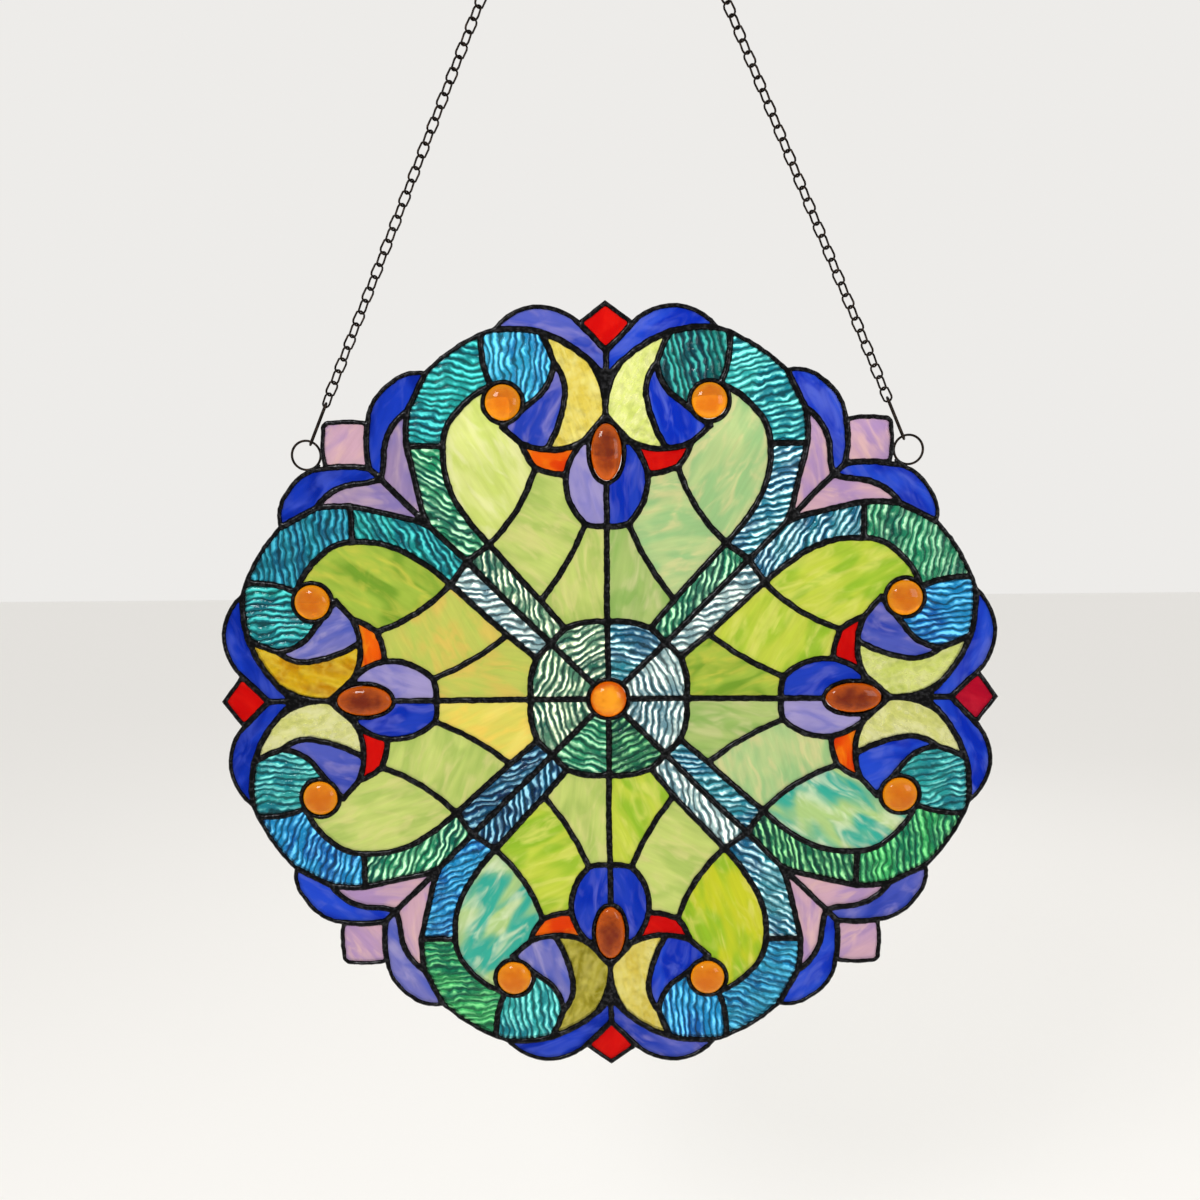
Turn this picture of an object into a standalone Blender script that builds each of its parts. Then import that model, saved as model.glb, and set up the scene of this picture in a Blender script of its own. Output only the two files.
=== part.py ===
"""A stained glass panel that hangs on a chain.

The panel stands in the XZ plane and its front faces -Y. The origin is the point where the
chain hangs on its nail. Four equal lobes and four equal corners surround a centre jewel.
The drawing below is one half lobe and one half corner: mirrors and quarter turns make the
rest. Flat glass lies in the openings of one net of solder lines.
"""

import math

import bmesh
import bpy
from mathutils import Matrix
from mathutils import Vector

# Panel, in metres
PANEL_RADIUS = 0.210
GLASS_THICKNESS = 0.003
LEAD_DEPTH = 0.0056
LEAD_LINE = 0.0034
RIM_LINE = 0.0024
CROSS_LINE_DROP = 0.0002
FIT_GAP = 0.0003

# Jewels
ROUND_JEWEL_DIAMETER = 0.0186
ROUND_JEWEL_RISE = 0.0058
OVAL_JEWEL_WIDTH = 0.0160
OVAL_JEWEL_LENGTH = 0.0296
OVAL_JEWEL_RISE = 0.0052
CENTRE_JEWEL_DIAMETER = 0.0192
CENTRE_JEWEL_RISE = 0.0064
BEZEL_WIDTH = 0.0026

# Where a dome turns down: shares of its width and of its rise over the edge
DOME_SHOULDER_OUT = 0.34
DOME_SHOULDER_UP = 0.66

# Rings, hooks and chain
RING_DIAMETER = 0.0165
RING_WIRE = 0.0013
HOOK_WIRE = 0.0012
HOOK_REACH = 0.0205
HOOK_TURN = math.radians(25)
LINKS_PER_SIDE = 57
LINK_PITCH = 0.0065
LINK_WIDTH = 0.0057
LINK_WAIST = 0.0036
LINK_WIRE = 0.0011
CHAIN_THICKNESS = 0.0014

# Roundness of the faceted solids
ARC_STEP = math.radians(50)
JEWEL_SIDES = 12
RING_SIDES = 14
WIRE_SIDES = 5
HOOK_BEND_STEPS = 4

# Rounds in which the ring finds its place beside the square
RING_SETTLES = 4

# How far the end of a line may run on to meet the next one
LINE_REACH = 0.020

# The drawing is in millimetres for a panel whose lobes reach 210 mm from its centre.
# X runs to the right and Y up. The lobe's own axis is X = 0, the corner's is X = Y.
DRAWN_RADIUS = 210.0
LOBE_TIP = (0.0, 208.4)
TIP_NOTCH = (13.6, 198.3)
DIAMOND_FOOT = (0.0, 184.5)
CREST_FOOT = (0.0, 170.4)
CREST_END = (58.1, 195.6)
MOON_TIP = (33.6, 194.0)
MOON_FOOT = (0.0, 151.4)
MOON_HEEL = (31.2, 133.8)
LEAF_TOP = (26.9, 178.5)
LEAF_TIP = (54.5, 145.7)
RED_TOP = (11.7, 138.4)
RED_FOOT = (21.4, 120.5)
RED_LOW = (37.4, 124.3)
RED_TIP = (44.5, 137.0)
PETAL_FOOT = (0.0, 93.3)
PETAL_HEEL = (11.7, 94.4)
BAND_JOINT = (64.6, 193.4)
CORNER_NOTCH = (94.4, 173.6)
PINK_TIP = (104.2, 154.4)
ELBOW_OUT = (105.4, 135.9)
ELBOW_IN = (86.1, 135.9)
WRIST_IN = (62.9, 83.8)
FAN_SPLIT = (35.5, 53.9)
HUB_TOP = (0.0, 42.1)
HUB_SIDE = (22.8, 38.8)
PINK_FOOT = (94.4, 94.4)
SQUARE_FOOT = (125.1, 125.1)
SQUARE_NOTCH = (125.3, 148.1)
SQUARE_CORNER = (147.7, 147.7)
HUB = (0.0, 0.0)
ROUND_JEWEL = (54.0, 158.4)
OVAL_JEWEL = (0.0, 132.2)

# Each line runs through its points as arcs: every second point lies on the way.
RIM_LINES = {
    "diamond_rim": (LOBE_TIP, TIP_NOTCH),
    "crest_rim": (TIP_NOTCH, (24.4, 204.9), (37.2, 206.9), (46.2, 204.5), CREST_END),
    "band_rim": (CREST_END, BAND_JOINT),
    "outer_rim": (BAND_JOINT, (80.3, 185.0), CORNER_NOTCH),
    "corner_rim": (CORNER_NOTCH, (103.6, 173.5), (111.8, 169.3), (120.5, 161.2), SQUARE_NOTCH),
    "square_rim": (SQUARE_NOTCH, (136.0, 149.3), (145.4, 148.7), (146.8, 148.5), SQUARE_CORNER),
}
LEAD_LINES = {
    "diamond_foot": (TIP_NOTCH, DIAMOND_FOOT),
    "crest_sole": (CREST_FOOT, (16.3, 185.6), MOON_TIP),
    "crest_tail": (MOON_TIP, (46.1, 195.9), CREST_END),
    "moon_back": (MOON_TIP, (29.6, 186.1), LEAF_TOP),
    "moon_belly": (LEAF_TOP, (22.6, 171.5), (21.1, 161.7), (24.1, 148.7), MOON_HEEL),
    "moon_sole": (MOON_HEEL, (20.6, 134.6), RED_TOP),
    "moon_toe": (RED_TOP, MOON_FOOT),
    "leaf_back": (LEAF_TOP, (29.8, 167.9), (39.1, 158.2), (46.7, 151.7), LEAF_TIP),
    "leaf_end": (LEAF_TIP, (49.4, 141.1), RED_TIP),
    "red_crown": (RED_TIP, (38.0, 134.7), MOON_HEEL),
    "red_side": (RED_LOW, (41.5, 130.2), RED_TIP),
    "red_sole": (RED_FOOT, (29.3, 121.5), RED_LOW),
    "petal_side": (PETAL_HEEL, (19.0, 104.7), RED_FOOT),
    "petal_sole": (PETAL_FOOT, (6.0, 93.1), PETAL_HEEL),
    "petal_top": (RED_TOP, OVAL_JEWEL),
    "jewel_inside": (LEAF_TIP, ROUND_JEWEL),
    "jewel_outside": (ROUND_JEWEL, (59.7, 167.1)),
    "band_inside": ((59.7, 167.1), (70.5, 161.4), (79.5, 152.7), (84.4, 144.9), ELBOW_IN),
    "arm_inside": (ELBOW_IN, (84.9, 119.4), (78.7, 104.5), (71.1, 93.3), WRIST_IN),
    "strap_side": (WRIST_IN, HUB_SIDE),
    "hub_top": (HUB_TOP, (13.6, 41.8), HUB_SIDE),
    "outer_back": (CORNER_NOTCH, (99.0, 163.9), PINK_TIP),
    "pink_back": (PINK_TIP, (105.4, 144.9), ELBOW_OUT),
    "arm_outside": (ELBOW_OUT, (102.4, 121.5), (98.5, 105.3), (96.7, 99.4), PINK_FOOT),
    "strap_outside": (PINK_FOOT, HUB),
    "square_side": (SQUARE_FOOT, (126.2, 136.7), SQUARE_NOTCH),
}

# These lines cross glass that is one solid here, so they lie on its front.
CROSS_LINES = {
    "fan_side": (PETAL_HEEL, (20.9, 74.9), FAN_SPLIT),
    "fan_blade": (RED_LOW, (45.8, 105.3), WRIST_IN),
}
AXIS_CROSS_LINES = {
    "fan_axis": (HUB_TOP, PETAL_FOOT),
    "hub_axis": (HUB, HUB_TOP),
    "pink_axis": (PINK_FOOT, SQUARE_FOOT),
}

# Each piece is named by the lines around it, its inside to the left. A minus sign turns a
# line round. The pieces of an axis start and end on it, and the mirror closes them.
LOBE_AXIS_PIECES = {
    "red_diamond": ("-diamond_foot", "-diamond_rim"),
    "blue_crest": ("crest_sole", "crest_tail", "-crest_rim", "diamond_foot"),
    "yellow_moons": ("-moon_toe", "-moon_sole", "-moon_belly", "-moon_back", "-crest_sole"),
    "tulip": ("petal_sole", "petal_side", "red_sole", "red_side", "red_crown", "moon_sole", "petal_top"),
    "green_fan": ("hub_top", "-strap_side", "-arm_inside", "-band_inside", "-jewel_outside",
                  "-jewel_inside", "leaf_end", "-red_side", "-red_sole", "-petal_side", "-petal_sole"),
    "heart_band": ("-strap_outside", "-arm_outside", "-pink_back", "-outer_back", "-outer_rim",
                   "-band_rim", "-crest_tail", "moon_back", "leaf_back", "jewel_inside",
                   "jewel_outside", "band_inside", "arm_inside", "strap_side", "-hub_top"),
}
LOBE_SIDE_PIECES = {
    "blue_leaf": ("-leaf_back", "moon_belly", "-red_crown", "-leaf_end"),
}
CORNER_AXIS_PIECES = {
    "pink_square": ("-square_rim", "-square_side"),
    "corner_leaves": ("square_side", "-corner_rim", "outer_back", "pink_back", "arm_outside"),
}

LOBES = ("top", "right", "bottom", "left")
CORNERS = ("top_right", "bottom_right", "bottom_left", "top_left")
LOBE_MIRROR = ((0.0, -DRAWN_RADIUS), (0.0, 2 * DRAWN_RADIUS))
CORNER_MIRROR = ((-DRAWN_RADIUS, -DRAWN_RADIUS), (2 * DRAWN_RADIUS, 2 * DRAWN_RADIUS))

# Base colour, roughness, metallic and transmission of each material
FINISHES = {
    "lead": ((0.030, 0.030, 0.034), 0.45, 0.85, 0.0),
    "teal": ((0.050, 0.330, 0.360), 0.12, 0.0, 0.6),
    "green": ((0.440, 0.520, 0.160), 0.20, 0.0, 0.4),
    "yellow": ((0.700, 0.620, 0.250), 0.25, 0.0, 0.4),
    "blue": ((0.100, 0.160, 0.600), 0.18, 0.0, 0.4),
    "violet": ((0.240, 0.200, 0.560), 0.18, 0.0, 0.4),
    "pink": ((0.640, 0.420, 0.480), 0.20, 0.0, 0.4),
    "red": ((0.640, 0.010, 0.010), 0.10, 0.0, 0.5),
    "amber": ((0.700, 0.250, 0.010), 0.06, 0.0, 0.7),
    "brown": ((0.360, 0.080, 0.010), 0.06, 0.0, 0.6),
    "wire": ((0.120, 0.100, 0.090), 0.35, 1.0, 0.0),
}
PIECE_FINISH = {
    "red_diamond": "red",
    "blue_crest": "blue",
    "yellow_moons": "yellow",
    "tulip": "violet",
    "green_fan": "green",
    "heart_band": "teal",
    "blue_leaf": "blue",
    "pink_square": "pink",
    "corner_leaves": "blue",
}


def scaled(points):
    """Drawn points at the panel's own size, in metres."""
    scale = PANEL_RADIUS / DRAWN_RADIUS
    return [Vector(point) * scale for point in points]


def arc_through(start, way, end):
    """Points on the circular arc from start to end that passes the way point."""
    chord = end - start
    bend = way - start
    area = 2 * (chord.x * bend.y - chord.y * bend.x)
    if abs(area) < 1e-4 * chord.length_squared:
        return [start, end]
    offset = Vector((
        chord.length_squared * -bend.y + bend.length_squared * chord.y,
        chord.length_squared * bend.x - bend.length_squared * chord.x,
    )) / area
    centre = start - offset
    radius = start - centre
    turn = radius.angle_signed(end - centre)
    side = -1 if area > 0 else 1
    sweep = -side * (abs(turn) if turn * side < 0 else math.tau - abs(turn))
    steps = max(1, math.ceil(abs(sweep) / ARC_STEP))
    return [centre + Matrix.Rotation(-sweep * i / steps, 2) @ radius for i in range(steps)] + [end]


def line_through(points):
    """A drawn line as a chain of points, its arcs broken into short steps."""
    points = scaled(points)
    if len(points) == 2:
        return points
    line = [points[0]]
    for start, way, end in zip(points[0::2], points[1::2], points[2::2]):
        line += arc_through(start, way, end)[1:]
    return line


def shifted(line, distance):
    """The line moved to its left by a distance."""
    moved = []
    for i, point in enumerate(line):
        before = (point - line[i - 1]).normalized() if i else (line[1] - point).normalized()
        after = (line[i + 1] - point).normalized() if i + 1 < len(line) else before
        middle = (before + after).normalized()
        normal = Vector((-middle.y, middle.x))
        moved.append(point + normal * distance / max(0.5, middle.dot(before)))
    return moved


def crossing(a, b, c, d):
    """Where segment a-b crosses segment c-d, or None."""
    along = b - a
    other = d - c
    area = along.x * other.y - along.y * other.x
    if abs(area) < 1e-12:
        return None
    gap = c - a
    t = (gap.x * other.y - gap.y * other.x) / area
    s = (gap.x * along.y - gap.y * along.x) / area
    return a + along * t if 0 <= t <= 1 and 0 <= s <= 1 else None


def met(first, second):
    """Both lines cut where the end of the first meets the start of the second."""
    tail = first[-1] + (first[-1] - first[-2]).normalized() * LINE_REACH
    head = second[0] + (second[0] - second[1]).normalized() * LINE_REACH
    first_run = first + [tail]
    second_run = [head] + second
    best = None
    for i in range(len(first_run) - 1):
        for j in range(len(second_run) - 1):
            spot = crossing(first_run[i], first_run[i + 1], second_run[j], second_run[j + 1])
            if spot is None:
                continue
            cost = (spot - first[-1]).length + (spot - second[0]).length
            if best is None or cost < best[0]:
                best = (cost, spot, i, j)
    if best is None:
        return first, second
    spot, i, j = best[1:]
    return first_run[:i + 1] + [spot], [spot] + second_run[j + 1:]


def thinned(loop):
    """The loop without points that nearly touch the one before."""
    return [point for i, point in enumerate(loop) if (point - loop[i - 1]).length > FIT_GAP / 2]


def named_line(name, inset):
    """A drawn line by name, moved to its left by half its width and the inset."""
    plain = name.lstrip("-")
    rim = plain in RIM_LINES
    width = RIM_LINE if rim else LEAD_LINE
    line = line_through(RIM_LINES[plain] if rim else LEAD_LINES[plain])
    if name != plain:
        line = line[::-1]
    return shifted(line, width / 2 + inset)


def mirrored(points, mirror):
    """Points reflected in the lobe's axis, or in the corner's."""
    if mirror is LOBE_MIRROR:
        return [Vector((-point.x, point.y)) for point in points]
    return [Vector((point.y, point.x)) for point in points]


def piece_loop(names, inset, mirror=None):
    """The closed outline of a piece, drawn in by the inset from the lines around it."""
    lines = [named_line(name, inset) for name in names]
    if mirror:
        axis = scaled(mirror)
        lines = [axis] + lines + [axis]
        for i in range(len(lines) - 1):
            lines[i], lines[i + 1] = met(lines[i], lines[i + 1])
        half = [point for line in lines[1:-1] for point in line]
        return thinned(half + mirrored(half[::-1], mirror))
    for i in range(len(lines)):
        lines[i - 1], lines[i] = met(lines[i - 1], lines[i])
    return thinned([point for line in lines for point in line])


def turned(points, quarter):
    """Points turned clockwise by a number of quarter turns."""
    turn = Matrix.Rotation(-quarter * math.pi / 2, 2)
    return [turn @ point for point in points]


def rim_outline():
    """The panel's outer edge."""
    half = []
    for name in RIM_LINES:
        line = named_line(name, 0.0)
        if half:
            half, line = met(half, line)
        half = half + line[1:] if half else line
    corner_axis = scaled(CORNER_MIRROR[::-1])
    half = met(half, corner_axis)[0]
    half = met(scaled(LOBE_MIRROR), half)[1]
    eighths = thinned(half + mirrored(half[::-1], CORNER_MIRROR))
    loop = []
    for quarter in range(4):
        loop += turned(eighths, quarter)
    return thinned(loop)


def strip_loop(line, width):
    """The outline of a strip of a width along a line."""
    return shifted(line, width / 2) + shifted(line, -width / 2)[::-1]


def material_for(name, finish):
    """A Principled material with one of the finishes."""
    colour, roughness, metallic, transmission = FINISHES[finish]
    material = bpy.data.materials.new(name)
    material.diffuse_color = (*colour, 1.0)
    material.use_nodes = True
    shader = material.node_tree.nodes["Principled BSDF"]
    shader.inputs["Base Color"].default_value = (*colour, 1.0)
    shader.inputs["Roughness"].default_value = roughness
    shader.inputs["Metallic"].default_value = metallic
    shader.inputs["Transmission Weight"].default_value = transmission
    return material


def new_collection(name, inside=None):
    """A collection linked to the scene, or inside another."""
    collection = bpy.data.collections.new(name)
    home = inside or bpy.context.scene.collection
    home.children.link(collection)
    return collection


def as_mesh(obj):
    """The object's evaluated mesh, its seams welded, as a mesh of its own."""
    evaluated = obj.evaluated_get(bpy.context.evaluated_depsgraph_get())
    mesh = bpy.data.meshes.new_from_object(evaluated)
    edit = bmesh.new()
    edit.from_mesh(mesh)
    bmesh.ops.remove_doubles(edit, verts=edit.verts, dist=1e-6)
    edit.to_mesh(mesh)
    edit.free()
    return mesh


def place(obj, collection, finish=None):
    """Put an object in its collection, with its own material or as a hidden cutter."""
    collection.objects.link(obj)
    if finish is None:
        obj.hide_render = True
        obj.display_type = "WIRE"
    else:
        obj.data.materials.clear()
        obj.data.materials.append(material_for(obj.name, finish))
    return obj


def flat_solid(name, loops, back, front, centre_height):
    """A flat shape with holes, in the panel's plane, from a back depth to a front depth."""
    curve = bpy.data.curves.new(name, "CURVE")
    curve.dimensions = "2D"
    curve.fill_mode = "BOTH"
    curve.extrude = (front - back) / 2
    for loop in loops:
        spline = curve.splines.new("POLY")
        spline.points.add(len(loop) - 1)
        spline.use_cyclic_u = True
        for point, place_on in zip(loop, spline.points):
            place_on.co = (point.x, point.y, 0.0, 1.0)
    drawn = bpy.data.objects.new(name, curve)
    bpy.context.scene.collection.objects.link(drawn)
    mesh = as_mesh(drawn)
    bpy.data.objects.remove(drawn)
    solid = bpy.data.objects.new(name, mesh)
    solid.rotation_euler = (math.pi / 2, 0.0, 0.0)
    solid.location = (0.0, -(front + back) / 2, centre_height)
    return solid


def oval_prism(name, centre, width, length, depth, quarter, centre_height):
    """An upright prism with an oval section, its length along the lobe's axis."""
    edit = bmesh.new()
    bmesh.ops.create_cone(
        edit, cap_ends=True, segments=JEWEL_SIDES, radius1=0.5, radius2=0.5, depth=1.0,
        matrix=Matrix.Diagonal((width, length, depth, 1.0)))
    mesh = bpy.data.meshes.new(name)
    edit.to_mesh(mesh)
    edit.free()
    prism = bpy.data.objects.new(name, mesh)
    prism.matrix_world = jewel_place(centre, quarter, centre_height)
    return prism


def jewel_place(centre, quarter, centre_height):
    """Where a jewel lies, its front to -Y and its length along the lobe's axis."""
    spot = turned([centre], quarter)[0]
    upright = Matrix.Translation((spot.x, 0.0, centre_height + spot.y))
    return upright @ Matrix.Rotation(math.pi / 2, 4, "X") @ Matrix.Rotation(-quarter * math.pi / 2, 4, "Z")


def jewel_solid(name, centre, width, length, rise, quarter, centre_height):
    """A domed jewel with a flat back, turned from its profile and drawn out to an oval."""
    back = -GLASS_THICKNESS / 2
    girdle = GLASS_THICKNESS / 2
    shoulder = girdle + DOME_SHOULDER_UP * (rise - girdle)
    profile = ((0.0, rise), (DOME_SHOULDER_OUT, shoulder), (0.5, girdle), (0.5, back), (0.0, back))
    mesh = bpy.data.meshes.new(name)
    edit = bmesh.new()
    corners = [edit.verts.new((across, 0.0, height)) for across, height in profile]
    for start, end in zip(corners, corners[1:]):
        edit.edges.new((start, end))
    edit.to_mesh(mesh)
    edit.free()
    turned_profile = bpy.data.objects.new(name, mesh)
    bpy.context.scene.collection.objects.link(turned_profile)
    screw = turned_profile.modifiers.new("turn", "SCREW")
    screw.steps = JEWEL_SIDES
    screw.render_steps = JEWEL_SIDES
    screw.use_merge_vertices = True
    screw.merge_threshold = 1e-5
    solid_mesh = as_mesh(turned_profile)
    bpy.data.objects.remove(turned_profile)
    solid_mesh.transform(Matrix.Diagonal((width, length, 1.0, 1.0)))
    solid_mesh.shade_smooth()
    solid_mesh.set_sharp_from_angle(angle=math.radians(40))
    jewel = bpy.data.objects.new(name, solid_mesh)
    jewel.matrix_world = jewel_place(centre, quarter, centre_height)
    return jewel


def joined_boolean(obj, collection, operation):
    """Cut or join every object of a collection with this one."""
    boolean = obj.modifiers.new(operation.lower(), "BOOLEAN")
    boolean.operation = operation
    boolean.solver = "EXACT"
    boolean.operand_type = "COLLECTION"
    boolean.collection = collection


def flattened(obj):
    """Clear the edges that Booleans leave in flat faces."""
    dissolve = obj.modifiers.new("flat", "DECIMATE")
    dissolve.decimate_type = "DISSOLVE"
    dissolve.angle_limit = math.radians(1)


def jewel_list():
    """Every jewel: name, centre, width, length, rise and quarter turn."""
    hub, round_jewel, oval_jewel = scaled((HUB, ROUND_JEWEL, OVAL_JEWEL))
    round_size = (ROUND_JEWEL_DIAMETER, ROUND_JEWEL_DIAMETER, ROUND_JEWEL_RISE)
    oval_size = (OVAL_JEWEL_WIDTH, OVAL_JEWEL_LENGTH, OVAL_JEWEL_RISE)
    jewels = [("centre_jewel", hub, CENTRE_JEWEL_DIAMETER, CENTRE_JEWEL_DIAMETER, CENTRE_JEWEL_RISE, 0)]
    for quarter, lobe in enumerate(LOBES):
        left_jewel = mirrored([round_jewel], LOBE_MIRROR)[0]
        jewels.append((lobe + "_oval_jewel", oval_jewel, *oval_size, quarter))
        jewels.append((lobe + "_round_jewel_right", round_jewel, *round_size, quarter))
        jewels.append((lobe + "_round_jewel_left", left_jewel, *round_size, quarter))
    return jewels


def glass_list():
    """Every flat piece of glass: name, finish, line names, mirror, quarter and flip."""
    pieces = []
    for quarter, lobe in enumerate(LOBES):
        for name, lines in LOBE_AXIS_PIECES.items():
            pieces.append((lobe + "_" + name, PIECE_FINISH[name], lines, LOBE_MIRROR, quarter, False))
        for name, lines in LOBE_SIDE_PIECES.items():
            pieces.append((lobe + "_" + name + "_right", PIECE_FINISH[name], lines, None, quarter, False))
            pieces.append((lobe + "_" + name + "_left", PIECE_FINISH[name], lines, None, quarter, True))
    for quarter, corner in enumerate(CORNERS):
        for name, lines in CORNER_AXIS_PIECES.items():
            pieces.append((corner + "_" + name, PIECE_FINISH[name], lines, CORNER_MIRROR, quarter, False))
    return pieces


def opening_loop(piece, inset):
    """The outline of one listed piece of glass where it lies."""
    lines, mirror, quarter, flip = piece[2:]
    loop = piece_loop(lines, inset, mirror)
    if flip:
        loop = mirrored(loop, LOBE_MIRROR)
    return turned(loop, quarter)


def cross_lines():
    """Every line that lies on the front of glass, as a chain of points."""
    lines = []
    for quarter in range(4):
        for points in CROSS_LINES.values():
            line = line_through(points)
            lines.append(turned(line, quarter))
            lines.append(turned(mirrored(line, LOBE_MIRROR), quarter))
        for points in AXIS_CROSS_LINES.values():
            lines.append(turned(line_through(points), quarter))
    return lines


def build_glass(parts, bezel_cuts, centre_height):
    """Each flat piece of glass, and what cuts it back round the jewels' bezels."""
    panes = []
    for name, centre, width, length, rise, quarter in jewel_list():
        wide = 2 * (BEZEL_WIDTH + FIT_GAP)
        place(oval_prism(name + "_clearance", centre, width + wide, length + wide,
                         LEAD_DEPTH, quarter, centre_height), bezel_cuts)
    for piece in glass_list():
        pane = flat_solid(piece[0], [opening_loop(piece, FIT_GAP)],
                          -GLASS_THICKNESS / 2, GLASS_THICKNESS / 2, centre_height)
        panes.append(place(pane, parts, piece[1]))
    return panes


def build_lead(parts, added, holes, centre_height):
    """The net of solder lines, what is added to it and the holes for the jewels."""
    loops = [rim_outline()] + [opening_loop(piece, 0.0) for piece in glass_list()]
    net = flat_solid("lead_lines", loops, -LEAD_DEPTH / 2, LEAD_DEPTH / 2, centre_height)
    place(net, parts, "lead")
    for i, line in enumerate(cross_lines()):
        strip = flat_solid("cross_line_%d" % i, [strip_loop(line, LEAD_LINE)],
                           GLASS_THICKNESS / 2 + FIT_GAP, LEAD_DEPTH / 2 - CROSS_LINE_DROP, centre_height)
        place(strip, added)
    for name, centre, width, length, rise, quarter in jewel_list():
        wide = 2 * BEZEL_WIDTH
        place(oval_prism(name + "_bezel", centre, width + wide, length + wide,
                         LEAD_DEPTH, quarter, centre_height), added)
        fit = 2 * FIT_GAP
        place(oval_prism(name + "_hole", centre, width + fit, length + fit,
                         2 * LEAD_DEPTH, quarter, centre_height), holes)
    return net


def build_jewels(parts, centre_height):
    """Every jewel in its bezel."""
    for name, centre, width, length, rise, quarter in jewel_list():
        finish = "brown" if length == OVAL_JEWEL_LENGTH else "amber"
        place(jewel_solid(name, centre, width, length, rise, quarter, centre_height), parts, finish)


def ring_height(crescent, across, reach):
    """How high a ring at this place across rests on the crescent below it."""
    heights = []
    for start, end in zip(crescent, crescent[1:]):
        for step in range(9):
            spot = start.lerp(end, step / 8)
            if abs(spot.x - across) < reach:
                heights.append(spot.y + math.sqrt(reach ** 2 - (spot.x - across) ** 2))
    return max(heights)


def ring_rest():
    """The right ring's centre from the panel's: on the crescent, with its hook clear of the square."""
    reach = RING_DIAMETER / 2 + FIT_GAP
    clearance = hook_bend() * math.sin(HOOK_TURN) + HOOK_WIRE / 2 + FIT_GAP
    crescent = mirrored(named_line("corner_rim", 0.0), CORNER_MIRROR)
    square = mirrored(named_line("square_rim", 0.0), CORNER_MIRROR)
    across = max(point.x for point in square) + reach
    for settle in range(RING_SETTLES):
        ring = Vector((across, ring_height(crescent, across, reach)))
        run = chain_slope(ring)
        room = min(run.y * (point.x - ring.x) - run.x * (point.y - ring.y) for point in square)
        across += max(0.0, clearance - room) / -run.y
    return Vector((across, ring_height(crescent, across, reach)))


def chain_length():
    """From the hang point to the ring's centre, along the chain and its hook."""
    wire_circle = (RING_DIAMETER - RING_WIRE) / 2
    return LINKS_PER_SIDE * LINK_PITCH - LINK_WIRE / 2 + HOOK_REACH + wire_circle


def chain_drop(ring):
    """How far below the hang point a ring at this place from the panel's centre hangs."""
    return math.sqrt(chain_length() ** 2 - ring.x ** 2)


def chain_slope(ring):
    """The right chain's direction downwards, for a ring at this place from the panel's centre."""
    return Vector((ring.x, -chain_drop(ring))) / chain_length()


def chain_run():
    """The right chain's direction downwards, and the panel centre's height."""
    ring = ring_rest()
    return chain_slope(ring), -chain_drop(ring) - ring.y


def build_hanging(parts, cutters, side, name):
    """One ring, its hook and its run of chain, on the right (side 1) or the left (-1)."""
    ring = ring_rest()
    down, centre_height = chain_run()
    down = Vector((side * down.x, down.y))
    across = Vector((-down.y, down.x))
    bpy.ops.mesh.primitive_torus_add(
        major_radius=(RING_DIAMETER - RING_WIRE) / 2, minor_radius=RING_WIRE / 2,
        major_segments=RING_SIDES, minor_segments=WIRE_SIDES)
    torus = bpy.context.active_object
    torus.name = name + "_ring"
    for home in torus.users_collection:
        home.objects.unlink(torus)
    torus.rotation_euler = (math.pi / 2, 0.0, 0.0)
    torus.location = (side * ring.x, 0.0, centre_height + ring.y)
    torus.data.shade_smooth()
    place(torus, parts, "wire")
    place(hook_solid(name + "_hook", down, across), parts, "wire")
    chain = place(flat_solid(name + "_chain", chain_loops(down, across),
                             -CHAIN_THICKNESS / 2, CHAIN_THICKNESS / 2, 0.0), parts, "wire")
    chain_end = bmesh.new()
    size = 4 * LINK_PITCH
    bmesh.ops.create_cube(chain_end, size=size)
    mesh = bpy.data.meshes.new(name + "_chain_top")
    chain_end.to_mesh(mesh)
    chain_end.free()
    top_cut = place(bpy.data.objects.new(name + "_chain_top", mesh), cutters)
    top_cut.location = (side * (FIT_GAP / 2 - size / 2), 0.0, 0.0)
    return chain, top_cut


def hook_bend():
    """The hook's bend radius, round the ring's wire and the end of the chain."""
    room = max(RING_WIRE, CHAIN_THICKNESS, LINK_WIRE) / 2 + HOOK_WIRE / 2 + FIT_GAP
    return room / math.cos(HOOK_TURN)


def hook_solid(name, down, across):
    """A long closed hook of wire through the last link and the ring."""
    top = down * (LINKS_PER_SIDE * LINK_PITCH - LINK_WIRE / 2)
    run = Vector((down.x, 0.0, down.y))
    wide = Vector((across.x * math.sin(HOOK_TURN), math.cos(HOOK_TURN), across.y * math.sin(HOOK_TURN)))
    curve = bpy.data.curves.new(name, "CURVE")
    curve.dimensions = "3D"
    curve.bevel_depth = HOOK_WIRE / 2
    curve.bevel_resolution = 1
    points = []
    for end, start_angle in ((0.0, math.pi), (HOOK_REACH, 0.0)):
        middle = Vector((top.x, 0.0, top.y)) + run * end
        for step in range(HOOK_BEND_STEPS + 1):
            angle = start_angle + math.pi * step / HOOK_BEND_STEPS
            points.append(middle + (wide * math.cos(angle) + run * math.sin(angle)) * hook_bend())
    spline = curve.splines.new("POLY")
    spline.use_cyclic_u = True
    spline.points.add(len(points) - 1)
    for point, place_on in zip(points, spline.points):
        place_on.co = (*point, 1.0)
    drawn = bpy.data.objects.new(name, curve)
    bpy.context.scene.collection.objects.link(drawn)
    mesh = as_mesh(drawn)
    bpy.data.objects.remove(drawn)
    mesh.shade_smooth()
    return bpy.data.objects.new(name, mesh)


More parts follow.
